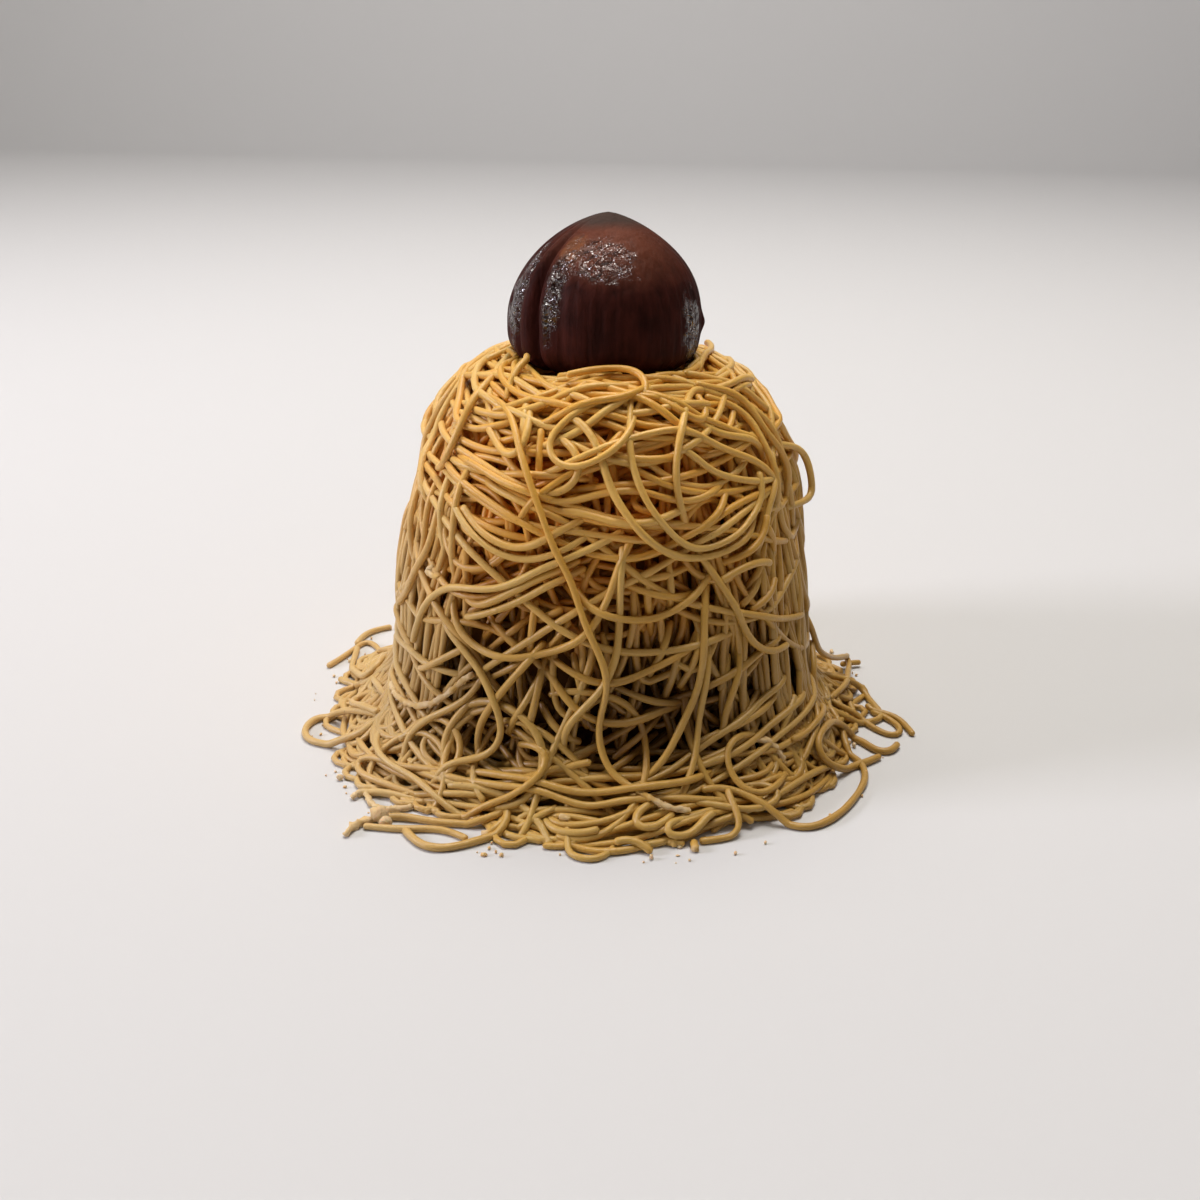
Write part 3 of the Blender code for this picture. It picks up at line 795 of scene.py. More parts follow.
            856, 796, 865, 780, 864, 768, 857, 756, 848, 743, 845, 728, 838, 710, 831, 698)),
        ("iif", (657, 799, 640, 806, 631, 815, 631, 826, 642, 832, 656, 829, 667, 820, 677, 809)),
        ("iof", (697, 822, 685, 817, 673, 820, 664, 827, 660, 834, 670, 838, 685, 838, 697, 831, 703, 820,
            708, 813, 719, 812)),
        ("isf", (727, 785, 730, 800, 737, 815, 741, 828, 736, 837, 720, 840, 702, 842, 696, 838)),
        ("sofe", (694, 836, 695, 845, 697, 853)),
        ("iofr", (692, 815, 694, 809, 690, 802)),
        ("iifr", (750, 736, 764, 739, 777, 747, 786, 757, 790, 768)),
        ("iif", (764, 736, 750, 733, 735, 737, 726, 747, 727, 762, 732, 776, 740, 787, 753, 795, 767, 792,
            780, 781, 791, 766)),
        ("iof", (546, 771, 562, 769, 576, 764, 588, 763, 597, 762)),
        ("iif", (383, 720, 378, 740, 382, 757, 396, 767, 412, 777, 428, 788, 445, 801, 464, 816)),
        ("oifb", (353, 799, 354, 793, 362, 791, 380, 792, 400, 794, 422, 794)),
        ("sofr", (369, 791, 368, 801, 373, 808, 385, 810, 396, 810, 404, 806, 415, 804)),
        ("iof", (424, 793, 423, 803, 429, 808, 439, 807)),
        ("oifb", (345, 837, 348, 829, 359, 822, 378, 817, 400, 816, 422, 820, 440, 824, 455, 823, 470, 818,
            490, 812, 507, 803)),
        ("sif", (360, 825, 380, 827, 400, 829, 425, 828, 442, 829, 455, 833, 470, 840)),
        ("iif", (403, 828, 412, 838, 422, 846, 435, 849, 450, 848, 465, 844, 480, 840, 495, 833, 504, 822,
            506, 812, 502, 798)),
        ("oifb", (478, 836, 488, 830, 498, 821, 504, 808)),
        ("iif", (514, 744, 511, 756, 514, 766, 526, 773)),
        ("iif", (512, 746, 528, 744, 543, 748, 550, 757, 546, 768, 538, 779, 525, 789, 508, 797, 490, 802,
            470, 806, 453, 813)),
        ("iif", (392, 716, 380, 716, 365, 714, 345, 713, 325, 716, 309, 723, 304, 733, 312, 742, 330, 744,
            350, 740, 368, 733, 379, 722, 385, 707)),
        ("sif", (385, 715, 368, 710, 356, 706, 356, 699, 364, 693, 378, 685)),
        ("oif", (326, 667, 338, 660, 350, 652, 359, 646, 372, 642, 395, 640)),
        ("iif", (358, 647, 354, 660, 356, 672, 364, 677, 374, 671, 382, 660, 388, 645)),
        ("iif", (356, 645, 363, 636, 374, 630, 395, 626)),
        ("iif", (390, 700, 379, 686, 370, 674)),
        ("iof", (828, 697, 820, 710, 808, 724, 799, 738, 784, 742)),
        ("sof", (882, 755, 868, 762, 853, 767, 840, 768, 825, 764, 813, 752, 812, 740, 822, 729, 835, 723,
            850, 727, 862, 737, 870, 748, 882, 754, 893, 751, 898, 742)),
        ("iifp", (806, 600, 815, 620, 826, 640, 838, 658, 843, 676, 836, 694)),
        ("iifp", (812, 638, 812, 660, 815, 680, 827, 697)),
        ("iif", (823, 666, 840, 682, 855, 690, 868, 700, 880, 712, 884, 718, 872, 722, 858, 718, 845, 708,
            833, 695)),
        ("iif", (833, 688, 848, 705, 862, 718, 878, 730, 892, 737, 902, 733, 898, 724, 885, 717, 868, 710)),
        ("iof", (860, 707, 880, 714, 895, 717, 905, 725, 915, 737)),
        ("iof", (835, 668, 848, 665, 862, 664)),
        ("oof", (612, 848, 619, 840, 639, 842, 656, 854)),
    )),
)
MOST_STAND = 5.0
ROUGH_SPANS = {"r": (0.0, 1.0), "b": (-1.0, 0.2), "e": (0.9, 2.0)}
END_TUCKS = {"i": 2.0, "s": 0.7, "o": 0.0, "d": 4.0}


def lay_many(pile, group, make_path, metres, tries, open_share=1.0, **how):
    """Lays paths from make_path until so many metres lie or so many tries are made.
    A path with more than open_share of its length on the open front is passed over."""
    laid = 0.0
    for _ in range(tries):
        if laid >= metres * 1000:
            break
        azimuth, run = make_path(pile.draw)
        if open_front(azimuth, run).mean() <= open_share:
            laid += pile.add(group, azimuth, run, **how)


def inner_path(draw):
    """A strand of the layers that fill the mound: mostly hanging down the side."""
    wanted = draw.choice((0.0, math.pi)) if draw.uniform() < 0.65 else draw.uniform(-math.pi, math.pi)
    return walk(
        draw, draw.uniform(0, TURN), draw.uniform(18, 98), wanted + draw.normal(0, 0.4),
        draw.uniform(50, 120), 0.03, wanted, 0.04,
    )


def flank_path(draw):
    """A strand that hangs close beside others down a flank, up and down again."""
    azimuth = draw.choice((-1, 1)) * math.radians(draw.uniform(38, 145))
    return walk(
        draw, azimuth, draw.uniform(20, 70), draw.normal(0, 0.12), draw.uniform(80, 190), 0.06, 0.0, 0.013,
        ends=(draw.uniform(20, 40), EDGE_RUN - draw.uniform(6, 16)),
    )


def front_path(draw, middle=0.0, half=46):
    """A strand over the front: a swag, hanging, or at a slant."""
    kind = draw.uniform()
    azimuth = middle + math.radians(draw.uniform(-half, half))
    if kind < 0.4:
        return swag(
            draw, azimuth, draw.uniform(6, 16), draw.uniform(26, 52), draw.uniform(14, 45),
            draw.uniform(-8, 8),
        )
    if kind < 0.7:
        return walk(
            draw, azimuth, draw.uniform(26, 65), draw.normal(0, 0.3), draw.uniform(80, 170), 0.03, 0.0, 0.03,
            ends=(draw.uniform(24, 50), EDGE_RUN - draw.uniform(4, 30)),
        )
    wanted = draw.choice((-1, 1)) * draw.uniform(0.7, 1.9)
    return walk(
        draw, azimuth, draw.uniform(28, 98), wanted, draw.uniform(40, 80), 0.02, wanted, 0.04,
        draw.normal(0, 0.02),
    )


def loop_path(draw):
    """A strand that curls in open rounds over the upper front and the shoulder."""
    azimuth = math.radians(draw.uniform(-60, 60)) if draw.uniform() < 0.6 else draw.uniform(0, TURN)
    return walk(
        draw, azimuth, draw.uniform(26, 56), draw.uniform(0, TURN), draw.uniform(35, 70), 0.0, 0.0, 0.03,
        draw.choice((-1, 1)) * draw.uniform(0.07, 0.14),
    )


def back_path(draw):
    return front_path(draw, math.pi, 108)


def sweep_path(draw):
    """A long low arc across the upper front."""
    way = draw.choice((-1, 1)) * math.pi / 2
    azimuth = -math.copysign(math.radians(draw.uniform(0, 70)), way)
    return walk(
        draw, azimuth, draw.uniform(28, 66), way + draw.normal(0, 0.35), draw.uniform(35, 80), 0.03,
        way + draw.normal(0, 0.25), 0.03, draw.normal(0, 0.012),
    )


def curtain_path(draw):
    """A strand of the sparse curtain low on the front: hanging, at a slant, or in a U."""
    azimuth = math.radians(draw.uniform(-38, 38))
    kind = draw.uniform()
    if kind < 0.25:
        return swag(
            draw, azimuth, draw.uniform(4, 11), draw.uniform(44, 62), draw.uniform(14, 32),
            draw.uniform(-8, 8),
        )
    slant = draw.normal(0, 0.25) if kind < 0.7 else draw.choice((-1, 1)) * draw.uniform(0.5, 1.3)
    return walk(draw, azimuth, draw.uniform(44, 66), slant, draw.uniform(30, 58), 0.01, slant, 0.03, 0.0, 30)


def shoulder_path(draw):
    """A strand that sweeps round the shoulder or the top in a long low arc."""
    way = draw.choice((-1, 1)) * math.pi / 2
    return walk(
        draw, draw.uniform(0, TURN), draw.uniform(19, 42), way + draw.normal(0, 0.3),
        draw.uniform(40, 95), 0.04, way + draw.normal(0, 0.1), 0.025, draw.normal(0, 0.008), inside=17.5,
    )


def nest_path(draw):
    """A strand of the nest that the chestnut stands in."""
    way = draw.choice((-1, 1)) * math.pi / 2
    return walk(
        draw, draw.uniform(0, TURN), 15.5 + 9 * draw.uniform() ** 1.5, way + draw.normal(0, 0.3),
        draw.uniform(22, 60), 0.08, way + draw.normal(0, 0.15), 0.06, draw.normal(0, 0.01), 20, inside=16.3,
    )


def skirt_path(draw):
    """A strand that lies round the foot in a long flat arc."""
    way = draw.choice((-1, 1)) * math.pi / 2
    azimuth = draw.choice((0.0, math.pi)) + draw.normal(0, 0.85)
    return walk(
        draw, azimuth, EDGE_RUN - draw.uniform(0, 14), way + draw.normal(0, 0.14),
        draw.uniform(45, 110), 0.06, way + draw.normal(0, 0.06), 0.018, draw.normal(0, 0.005), 30,
    )


def curl_path(draw):
    """A strand that curls round at the skirt's edge."""
    way = draw.choice((-1, 1)) * math.pi / 2
    return walk(
        draw, draw.uniform(0, TURN), EDGE_RUN - draw.uniform(-1, 8), way + draw.normal(0, 0.8),
        draw.uniform(25, 50), 0.0, way, 0.05, draw.choice((-1, 1)) * draw.uniform(0.06, 0.14), 18,
    )


def lay_traced(pile):
    """The strands that are followed in the photograph, the deepest first."""
    for lift, strands in TRACED:
        for marks, places in strands:
            azimuth, run, stand = pixels_on_mound(
                np.reshape(places, (-1, 2)), 0.0 if "f" in marks else lift, "p" in marks or "f" not in marks
            )
            azimuth, run = (soften(way, 3.0) for way in smooth_path(np.unwrap(azimuth), run))
            lowest = -9.0 if "f" in marks else lift
            if "p" in marks:
                stand = np.minimum(stand, MOST_STAND)
                along, marked = np.linspace(0, 1, len(run)), np.linspace(0, 1, len(stand))
                lowest = soften(np.interp(along, marked, stand), 3.0)
            rough = next((span for mark, span in ROUGH_SPANS.items() if mark in marks), (2, 2))
            pile.add(
                "traced", azimuth, run, cap=max(lift, -0.8) + (9.0 if "p" in marks else 1.7), lowest=lowest,
                bend_radius=30.0, tube_step=0.55 if rough[0] < 1 else 0.9, share_over=1, smooth=4.0,
                tuck=[END_TUCKS[mark] for mark in marks[:2]], rough=rough,
            )


# Meshes


def new_mesh(name, points, quads, triangles):
    """A mesh object from arrays of points in millimetres, four-sided faces and three-sided faces."""
    mesh = bpy.data.meshes.new(name)
    corners = np.concatenate([quads.ravel(), triangles.ravel()]).astype(np.int32)
    starts = np.concatenate(
        [np.arange(len(quads)) * 4, len(quads) * 4 + np.arange(len(triangles)) * 3]
    ).astype(np.int32)
    mesh.vertices.add(len(points))
    mesh.vertices.foreach_set("co", (points * MM).astype(np.float32).ravel())
    mesh.loops.add(len(corners))
    mesh.loops.foreach_set("vertex_index", corners)
    mesh.polygons.add(len(starts))
    mesh.polygons.foreach_set("loop_start", starts)
    mesh.update(calc_edges=True)
    mesh.shade_smooth()
    made = bpy.data.objects.new(name, mesh)
    bpy.context.scene.collection.objects.link(made)
    return made


def tube_mesh(name, strands, sides, draw):
    """One mesh of many strands, each a tube with rounded ends."""
    all_points, all_quads, all_triangles = [], [], []
    values = {"strand_tint": [], "depth": [], "rough": []}
    base = 0
    angles = np.arange(sides) / sides * TURN
    for strand in strands:
        points, normals = strand["points"], strand["normals"]
        tangents = np.gradient(points, axis=0)
        tangents /= np.maximum(np.linalg.norm(tangents, axis=1, keepdims=True), 1e-9)
        beside = np.cross(tangents, normals)
        beside /= np.maximum(np.linalg.norm(beside, axis=1, keepdims=True), 1e-9)
        above = np.cross(beside, tangents)
        radius = strand["radius"] * (
            1
            + 0.035 * np.sin(strand["along"] / 2.9 + strand["phase"])
            + 0.03 * np.sin(strand["along"] / 1.15 + 2 * strand["phase"])
        )
        first, last = points[0], points[-1]
        centres = np.concatenate(
            [[first - tangents[0] * END_RING], points, [last + tangents[-1] * END_RING]]
        )
        radius = np.concatenate([[radius[0] * END_WIDTH], radius, [radius[-1] * END_WIDTH]])
        beside, above, rough, depth = (
            np.concatenate([rows[:1], rows, rows[-1:]])
            for rows in (beside, above, strand["rough"], strand["depth"])
        )
        uneven = WHOLE_SKIN + BROKEN_SKIN * rough[:, None]
        swell = 1 - 0.1 * rough[:, None] + draw.normal(0, 1, (len(centres), sides)) * uneven
        rings = centres[:, None] + (radius[:, None] * swell)[..., None] * (
            np.cos(angles)[None, :, None] * beside[:, None] + np.sin(angles)[None, :, None] * above[:, None]
        )
        count = len(centres)
        tips = np.array([first - tangents[0] * END_TIP, last + tangents[-1] * END_TIP])
        skin = np.concatenate([rings.reshape(-1, 3), tips])
        skin[:, 2] = np.maximum(skin[:, 2], 0)
        all_points.append(skin)
        ring = np.arange(count - 1)[:, None] * sides + base
        here = np.arange(sides)[None]
        there = (here + 1) % sides
        quads = np.stack([ring + here, ring + there, ring + sides + there, ring + sides + here], -1)
        all_quads.append(quads.reshape(-1, 4))
        start_tip, end_tip = base + count * sides, base + count * sides + 1
        top = base + (count - 1) * sides
        here, there = here[0], there[0]
        all_triangles.append(np.stack([np.full(sides, start_tip), base + there, base + here], 1))
        all_triangles.append(np.stack([np.full(sides, end_tip), top + here, top + there], 1))
        values["strand_tint"].append(np.full(count * sides + 2, strand["tint"]))
        for key, rows in (("depth", depth), ("rough", rough)):
            values[key].append(np.concatenate([np.repeat(rows, sides), rows[:1], rows[-1:]]))
        base += count * sides + 2
    made = new_mesh(name, *(np.concatenate(parts) for parts in (all_points, all_quads, all_triangles)))
    for key, rows in values.items():
        made.data.attributes.new(key, "FLOAT", "POINT").data.foreach_set(
            "value", np.concatenate(rows).astype(np.float32)
        )
    return made


def core_mesh(name):
    """The core under the strands, closed below by a flat face."""
    sides, rows = 144, 90
    azimuth, run = np.meshgrid(np.arange(sides) / sides * TURN, np.linspace(2, EDGE_RUN - 1, rows))
    points, _ = surface_points(azimuth.ravel(), run.ravel(), -core_depth(azimuth, run).ravel() - 0.2)
    points[:, 2] = np.maximum(points[:, 2], 0)
    points = points.reshape(rows, sides, 3)
    points[-1, :, 2] = 0
    top = np.array([[0, 0, points[0, :, 2].mean()], [0, 0, 0]])
    flat = np.concatenate([points.reshape(-1, 3), top])
    ring = np.arange(rows - 1)[:, None] * sides
    here = np.arange(sides)[None]
    there = (here + 1) % sides
    below = ring + sides
    quads = np.stack([ring + here, below + here, below + there, ring + there], -1).reshape(-1, 4)
    here, there = here[0], there[0]
    bottom = (rows - 1) * sides
    caps = np.concatenate(
        [
            np.stack([np.full(sides, rows * sides), here, there], 1),
            np.stack([np.full(sides, rows * sides + 1), bottom + there, bottom + here], 1),
        ]
    )
    return new_mesh(name, flat, quads, caps)


# Chestnut


def chestnut_outline(share):
    """The chestnut's radius, as a share of its largest, at a share of its height."""
    rise = np.clip((share - CHESTNUT_WIDEST) / (1 - CHESTNUT_WIDEST), 0, 1)
    fall = np.clip((CHESTNUT_WIDEST - share) / CHESTNUT_WIDEST, 0, 1)
    return np.maximum(1 - rise**2.3, 0) ** 0.72 * (1 - 0.23 * fall**4)


def shape_chestnut(chestnut):
    """Turns a unit sphere into the chestnut, with its grooves, ribs, flap of skin and point."""
    mesh = chestnut.data
    points = np.empty(len(mesh.vertices) * 3, np.float32)
    mesh.vertices.foreach_get("co", points)
    points = points.reshape(-1, 3).astype(float)
    base, top = CHESTNUT_LOW.z / MM, CHESTNUT_HIGH.z / MM
    rise = np.arcsin(np.clip(points[:, 2], -1, 1)) / math.pi + 0.5
    share = np.where(rise < 0.22, 0, ((rise - 0.22) / 0.78)) ** 0.93
    under = np.clip(rise / 0.22, 0, 1)
    azimuth = np.degrees(np.arctan2(points[:, 0], -points[:, 1]))
    turn = np.radians(azimuth)
    radius = CHESTNUT_RADIUS * chestnut_outline(share) * np.where(rise < 0.22, under**0.8, 1)
    body = np.sin(math.pi * np.clip(share * 0.92 + 0.1, 0, 1)) ** 0.7
    relief = np.zeros(len(points))
    groove = np.zeros(len(points))
    for middle, lean, depth, width in CHESTNUT_GROOVES:
        off = (azimuth - middle - lean * (share - 0.4) + 180) % 360 - 180
        relief -= depth * bell(off, 0, width) * body
        # Where a groove is deep, a mask places the painted shade in it.
        if depth > 0.3:
            groove = np.maximum(groove, bell(off, 0, width * 1.3) * body)
    right = bell(azimuth, 66, 24)
    relief += 0.09 * right * np.sin(np.radians(azimuth) * 84 + 3 * share) * body
    relief += 0.05 * np.sin(turn * 47 + 4 * share) * body
    relief += 0.28 * np.sin(2 * turn + 0.7) * body + 0.16 * np.sin(3 * turn + 5 * share) * body
    relief += 0.75 * bell(azimuth, 86, 2.4) * bell(share, 0.3, 0.06)
    relief += 0.7 * bell(azimuth, -88, 30) * bell(share, 0.3, 0.3)
    relief += 0.35 * bell(azimuth, -24, 7) * bell(share, 0.79, 0.05)
    relief -= 0.3 * bell(azimuth, -12, 8) * bell(share, 0.86, 0.04)
    radius = np.maximum(radius + relief * np.where(rise < 0.22, under, 1), 0)
    shaped = np.stack(
        [
            radius * np.sin(turn),
            -radius * np.cos(turn) * CHESTNUT_DEPTH,
            base + (top - base) * share,
        ],
        1,
    )
    mesh.vertices.foreach_set("co", (shaped * MM).astype(np.float32).ravel())
    mesh.update()
    front_top = bell(azimuth, -2, 38) * bell(share, 0.76, 0.17)
    left = bell(azimuth, -36, 7) * bell(share, 0.5, 0.3) + bell(azimuth, -74, 16) * bell(share, 0.5, 0.35)
    right = bell(azimuth, 62, 15) * bell(share, 0.32, 0.3)
    back = 0.9 * bell(np.abs(azimuth), 168, 34) * bell(share, 0.68, 0.2)
    # Masks for the painted shade in the grooves and the painted light on the upper front, and for the point,
    # the worn patch and the wet glaze.
    masks = {
        "groove": groove,
        "tip": ramp(share, 0.86, 0.99),
        "worn": bell(azimuth, -33, 12) * bell(share, 0.8, 0.08),
        "wet": np.clip(front_top + 1.15 * left + right + back, 0, 1),
        "lit": ramp(share, 0.45, 0.85) * bell(azimuth, 10, 75),
    }
    for name, values in masks.items():
        mask = mesh.attributes.new(name, "FLOAT", "POINT")
        mask.data.foreach_set("value", values.astype(np.float32))


# Crumbs


# Pixels of the photograph, and a width in millimetres
CRUMBS = (
    (337, 778, 1.0), (352, 834, 2.6), (343, 840, 1.8), (338, 850, 2.2), (333, 770, 0.6), (342, 786, 0.7),
    (821, 617, 1.5), (831, 600, 1.8), (839, 622, 0.7), (868, 642, 1.2), (897, 806, 0.6), (653, 861, 0.8),
    (492, 842, 0.8), (498, 847, 0.6), (487, 850, 0.5), (503, 851, 0.7), (494, 836, 0.5), (480, 846, 0.4),
    (371, 620, 0.9), (362, 634, 0.6), (352, 660, 0.8), (344, 645, 0.5), (690, 858, 0.5), (560, 852, 0.5),
)


def crumb_mesh(name, draw):
    """Small rough crumbs on the floor, as one mesh: where the photograph shows them, and all round."""
    azimuth, run, _ = pixels_on_mound([crumb[:2] for crumb in CRUMBS])
    places = [(a, profile_at(r)[0] + 0.3, crumb[2]) for a, r, crumb in zip(azimuth, run, CRUMBS)]
    for _ in range(70):
        places.append((draw.uniform(0, TURN), draw.uniform(50, 58.5), 0.3 + 0.9 * draw.uniform() ** 3))
    ball = bmesh.new()
    bmesh.ops.create_icosphere(ball, subdivisions=2, radius=0.5)
    unit = np.array([vertex.co for vertex in ball.verts])
    faces = np.array([[vertex.index for vertex in face.verts] for face in ball.faces])
    ball.free()
    all_points, all_faces = [], []
    for turn, reach, width in places:
        reach = min(reach, 58.8)
        middle = np.array([reach * math.sin(turn), -reach * math.cos(turn), 0])
        middle[1] = np.clip(middle[1], -56, 56)
        stretch = draw.uniform(0.6, 1.3, 3) * width
        bumps = 1 + draw.normal(0, 0.13, (len(unit), 1))
        lump_points = unit * bumps * stretch
        lump_points[:, 2] -= lump_points[:, 2].min()
        all_faces.append(faces + len(unit) * len(all_points))
        all_points.append(lump_points + middle)
    return new_mesh(name, np.concatenate(all_points), np.zeros((0, 4), int), np.concatenate(all_faces))


# Shader maths


class Socket:
    """A shader value that Python's arithmetic works on."""

    def __init__(self, tree, link):
        self.tree = tree
        self.link = link

    def maths(self, operation, other=0.0, swapped=False):
        values = (other, self) if swapped else (self, other)
        return self.tree.node("ShaderNodeMath", {"operation": operation}, *values)

    def __add__(self, other):
        return self.maths("ADD", other)

    def __mul__(self, other):
        return self.maths("MULTIPLY", other)

    def __sub__(self, other):
        return self.maths("SUBTRACT", other)

    def __rsub__(self, other):
        return self.maths("SUBTRACT", other, True)

    __radd__ = __add__
    __rmul__ = __mul__


class Finish:
    """A material under construction."""

    def __init__(self, name, **constants):
        self.material = bpy.data.materials.new(name)
        self.material.use_nodes = True
        self.nodes = self.material.node_tree.nodes
        self.shader = self.nodes["Principled BSDF"]
        for socket, value in constants.items():
            self.shader.inputs[socket.replace("_", " ")].default_value = value

    def node(self, kind, settings, *values, output=0, **named):
        """Any node: its settings first, then the values or links of its sockets. Gives back an output."""
        made = self.nodes.new(kind)
        for setting, value in settings.items():
            setattr(made, setting, value)
        for socket, value in [*enumerate(values), *named.items()]:
            self.feed(made.inputs[socket.replace("_", " ") if isinstance(socket, str) else socket], value)
        return Socket(self, made.outputs[output])

    def feed(self, target, value):
        if isinstance(value, Socket):
            self.material.node_tree.links.new(value.link, target)
        elif value is not None:
            target.default_value = value

    def set(self, socket, value):
        self.feed(self.shader.inputs[socket], value)

    def place(self):
        return self.node("ShaderNodeTexCoord", {}, output="Object")

    def attribute(self, name):
        return self.node("ShaderNodeAttribute", {"attribute_name": name}, output="Fac")

    def noise(self, scale, detail=2.0, vector=None, roughness=0.5):
        vector = vector or self.place()
        return self.node(
            "ShaderNodeTexNoise", {}, Vector=vector, Scale=scale, Detail=detail, Roughness=roughness
        )

    def between(self, value, low, high):
        """The value's way from low to high, kept between 0 and 1."""
        return self.node("ShaderNodeMapRange", {"clamp": True}, value, low, high, 0.0, 1.0)

    def mix(self, share, first, second):
        """The way from one colour to another, by a share."""
        first, second = (value if isinstance(value, Socket) else (*value[:3], 1) for value in (first, second))
        return self.node("ShaderNodeMix", {"data_type": "RGBA"}, share, *[None] * 5, first, second, output=2)

    def bump(self, height, distance, shader=None):
        normal = self.node(
            "ShaderNodeBump", {}, Strength=1.0, Distance=distance, Height=height, output="Normal"
        )
        self.feed((shader or self.shader).inputs["Normal"], normal)

    def over(self, share, **constants):
        """A second shader that covers the first by a share."""
        made = self.node("ShaderNodeBsdfPrincipled", {}, **constants)
        both = self.node("ShaderNodeMixShader", {}, share, Socket(self, self.shader.outputs[0]), made)
        self.feed(self.nodes["Material Output"].inputs["Surface"], both)
        return made.link.node


def cream_finish(colours):
    """Chestnut cream: golden beige, a little translucent and moist, each strand its own shade."""
    finish = Finish(
        "chestnut_cream_strands",
        Subsurface_Weight=0.2,
        Subsurface_Radius=(1.0, 0.9, 0.8),
        Subsurface_Scale=0.0006,
        Specular_IOR_Level=0.5,
    )
    tint = finish.attribute("strand_tint")
    height = finish.node("ShaderNodeSeparateXYZ", {}, finish.place(), output="Z")
    across = finish.node("ShaderNodeSeparateXYZ", {}, finish.place(), output="X")
    # Painted shade: this share is 1 low on the heap and 0 high up, and the low strands are painted darker by
    # it.
    low = finish.between(height, 0.052, 0.024)
    on_floor = finish.between(height, 0.011, 0.004)
    depth = finish.attribute("depth")
    patches = finish.noise(90.0, 2.0)
    shade = finish.between(tint * 0.55 + patches * 0.6, 0.2, 0.85)
    colour = finish.mix(shade, colours.cream, colours.cream_deep)
    # Painted shade: strands low on the heap are mixed towards a darker colour.
    colour = finish.mix(low * 0.6, colour, colours.cream_painted_low_shade)
    # Painted light: the left flank is mixed towards a paler colour, where the light from the left falls on
    # it.
    left_painted_light = finish.between(across, -0.016, -0.04)
    colour = finish.mix(left_painted_light * 0.3, colour, colours.crumb)
    # Painted shade: the right flank, below the shoulder, is mixed towards the dark colour, as it is in shade.
    right_painted_shade = finish.between(across, 0.012, 0.04) * finish.between(height, 0.06, 0.045)
    colour = finish.mix(right_painted_shade * 0.35, colour, colours.cream_painted_dark_shade)
    # Painted shade: strands deep in the heap take the saturated colour of light that reaches them only
    # through the others, or the dark one low down; strands on the floor keep their own.
    deep = finish.between(depth, 0.5, 3.6) * (1 - on_floor)
    colour = finish.mix(deep, colour, finish.mix(low, colours.cream_shade, colours.cream_painted_dark_shade))
    broken = finish.attribute("rough") * finish.between(finish.noise(500.0, 2.0), 0.35, 0.6)
    colour = finish.mix(broken * 0.75, colour, colours.crumb)
    specks = finish.between(finish.noise(1400.0, 1.0), 0.72, 0.8)
    colour = finish.mix(specks * 0.4, colour, (0.2, 0.085, 0.025))
    finish.set("Base Color", colour)
    finish.set("Roughness", 0.28 + 0.2 * finish.noise(260.0, 2.0) + 0.4 * finish.attribute("rough"))
    finish.bump(finish.noise(2200.0, 3.0) + 0.7 * finish.noise(700.0, 2.0), 0.0001)
    return finish.material


def crumb_finish(colours):
    """Dry crumbs of cream, some toasted."""
    finish = Finish("cream_crumbs", Roughness=0.85, Subsurface_Weight=0.2, Subsurface_Scale=0.0006)
    toasted = finish.between(finish.noise(60.0, 1.0), 0.5, 0.62)
    finish.set("Base Color", finish.mix(toasted * 0.5, colours.crumb, colours.cream_deep))
    finish.bump(finish.noise(1800.0, 2.0), 0.0003)
    return finish.material


def core_finish(colours):
    finish = Finish("core_in_shade", Roughness=0.9, Specular_IOR_Level=0.2)
    apart = finish.node("ShaderNodeSeparateXYZ", {}, finish.place(), output="Z")
    # Painted shade: the core's colour falls to 0.12 of itself towards the floor, as the deep gaps low down
    # are in shade.
    colour = finish.mix(
        finish.between(apart + 0.012 * finish.noise(90.0, 2.0), 0.022, 0.062),
        tuple(c * 0.12 for c in colours.core), colours.core,
    )
    finish.set("Base Color", colour)
    finish.bump(finish.noise(500.0, 2.0), 0.0004)
    return finish.material


